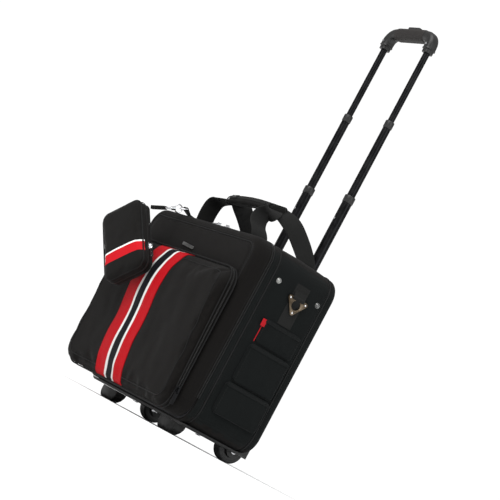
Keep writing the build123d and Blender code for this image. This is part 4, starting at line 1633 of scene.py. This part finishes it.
def make_collars():
    """Thin collars at the tops of the two stages below the grip's own."""
    for stage, radius, bore, top in (("lower", 9.5, 8.05, 534), ("middle", 7.75, 6.55, 692)):
        profile = (
            (radius + 0.2, -14),
            (radius + 1.0, -13.2),
            (radius + 1.0, -1.0),
            (radius + 0.4, 0.2),
            (bore + 0.3, 0.3),
            (bore, -0.4),
            (bore, -1.4),
            (radius - 0.1, -1.5),
        )
        parts = []
        for side in SIDES:
            place = Matrix.Translation((side * TUBE_X, TUBE_Y, top * MM))
            rings = [round_ring(place, reach * MM, height * MM, 36) for reach, height in profile]
            parts.append(loft(rings, wrap=True))
        add_piece(
            f"{stage}_tube_collars", *merged(parts), "plastic", "black_plastic", f"{stage}_stage",
            (f"{stage}_collars",), sharp=50,
        )


# A skid's sections from front to rear: y, the height of its bottom, and how far its ends come in.
FOOT_SECTIONS = (
    (-6, 1.2, 1.5),
    (-5, 0.3, 0.4),
    (-3.5, 0, 0),
    (8, 0, 0),
    (11, 1.6, 0),
    (14, 4.8, 0),
    (17, 12, 1.2),
)
FOOT_X = 122
FOOT_HALF = 30
FOOT_TOP = 21.6


def make_feet():
    """The two skids, with rounded lower corners and a heel that rises to the rear."""
    parts = []
    for side in SIDES:
        rings = []
        for y, bottom, inset in FOOT_SECTIONS:
            half = FOOT_HALF - inset
            corner = min(13.0, (FOOT_TOP - bottom) * 0.7)
            shoulder = (FOOT_TOP + bottom + corner) / 2
            ring = [(-half, FOOT_TOP), (-half, shoulder)]
            for start, middle_x in ((180, corner - half), (270, half - corner)):
                for k in range(9):
                    angle = math.radians(start + 90 * k / 8)
                    drop = bottom + corner + corner * math.sin(angle)
                    ring.append((middle_x + corner * math.cos(angle), drop))
            ring.extend([(half, shoulder), (half, FOOT_TOP)])
            rings.append([Vector((side * FOOT_X + x, y, z)) * MM for x, z in ring])
        parts.append(loft(rings, caps=(True, True)))
    add_piece("feet", *merged(parts), "plastic", "black_plastic", "case", ("front_feet",), sharp=50)


HARD_NODES = (
    "left_wheel_housing",
    "right_wheel_housing",
    "chassis_plate",
    "trolley_bezel",
    "grip_button",
    "left_wheel_hub",
    "right_wheel_hub",
)


def refine_hard_pieces():
    """The hard pieces keep their CAD form with broken edges."""
    for node in HARD_NODES:
        refine(node, 0.7 * MM)
    for word in ("left", "right", "pocket", "pouch"):
        refine(f"{word}_zip_slider", 0.35 * MM)
        refine(f"{word}_zip_pull", 0.25 * MM)


make_cloths()
make_hard_materials()
make_camera()
make_studio()
dress_frame()
make_case_shell()
make_case_seams()
make_main_zip()
make_door_shell()
the_pocket = make_pocket()
bpy.context.view_layer.update()
make_ribbon(the_pocket)
make_pocket_seams(the_pocket)
make_tag()
make_back_cover()
make_well_covers()
make_side_fittings()
make_red_tag()
make_handles()
make_pouch()
make_feet()
make_grip()
make_collars()
refine_hard_pieces()
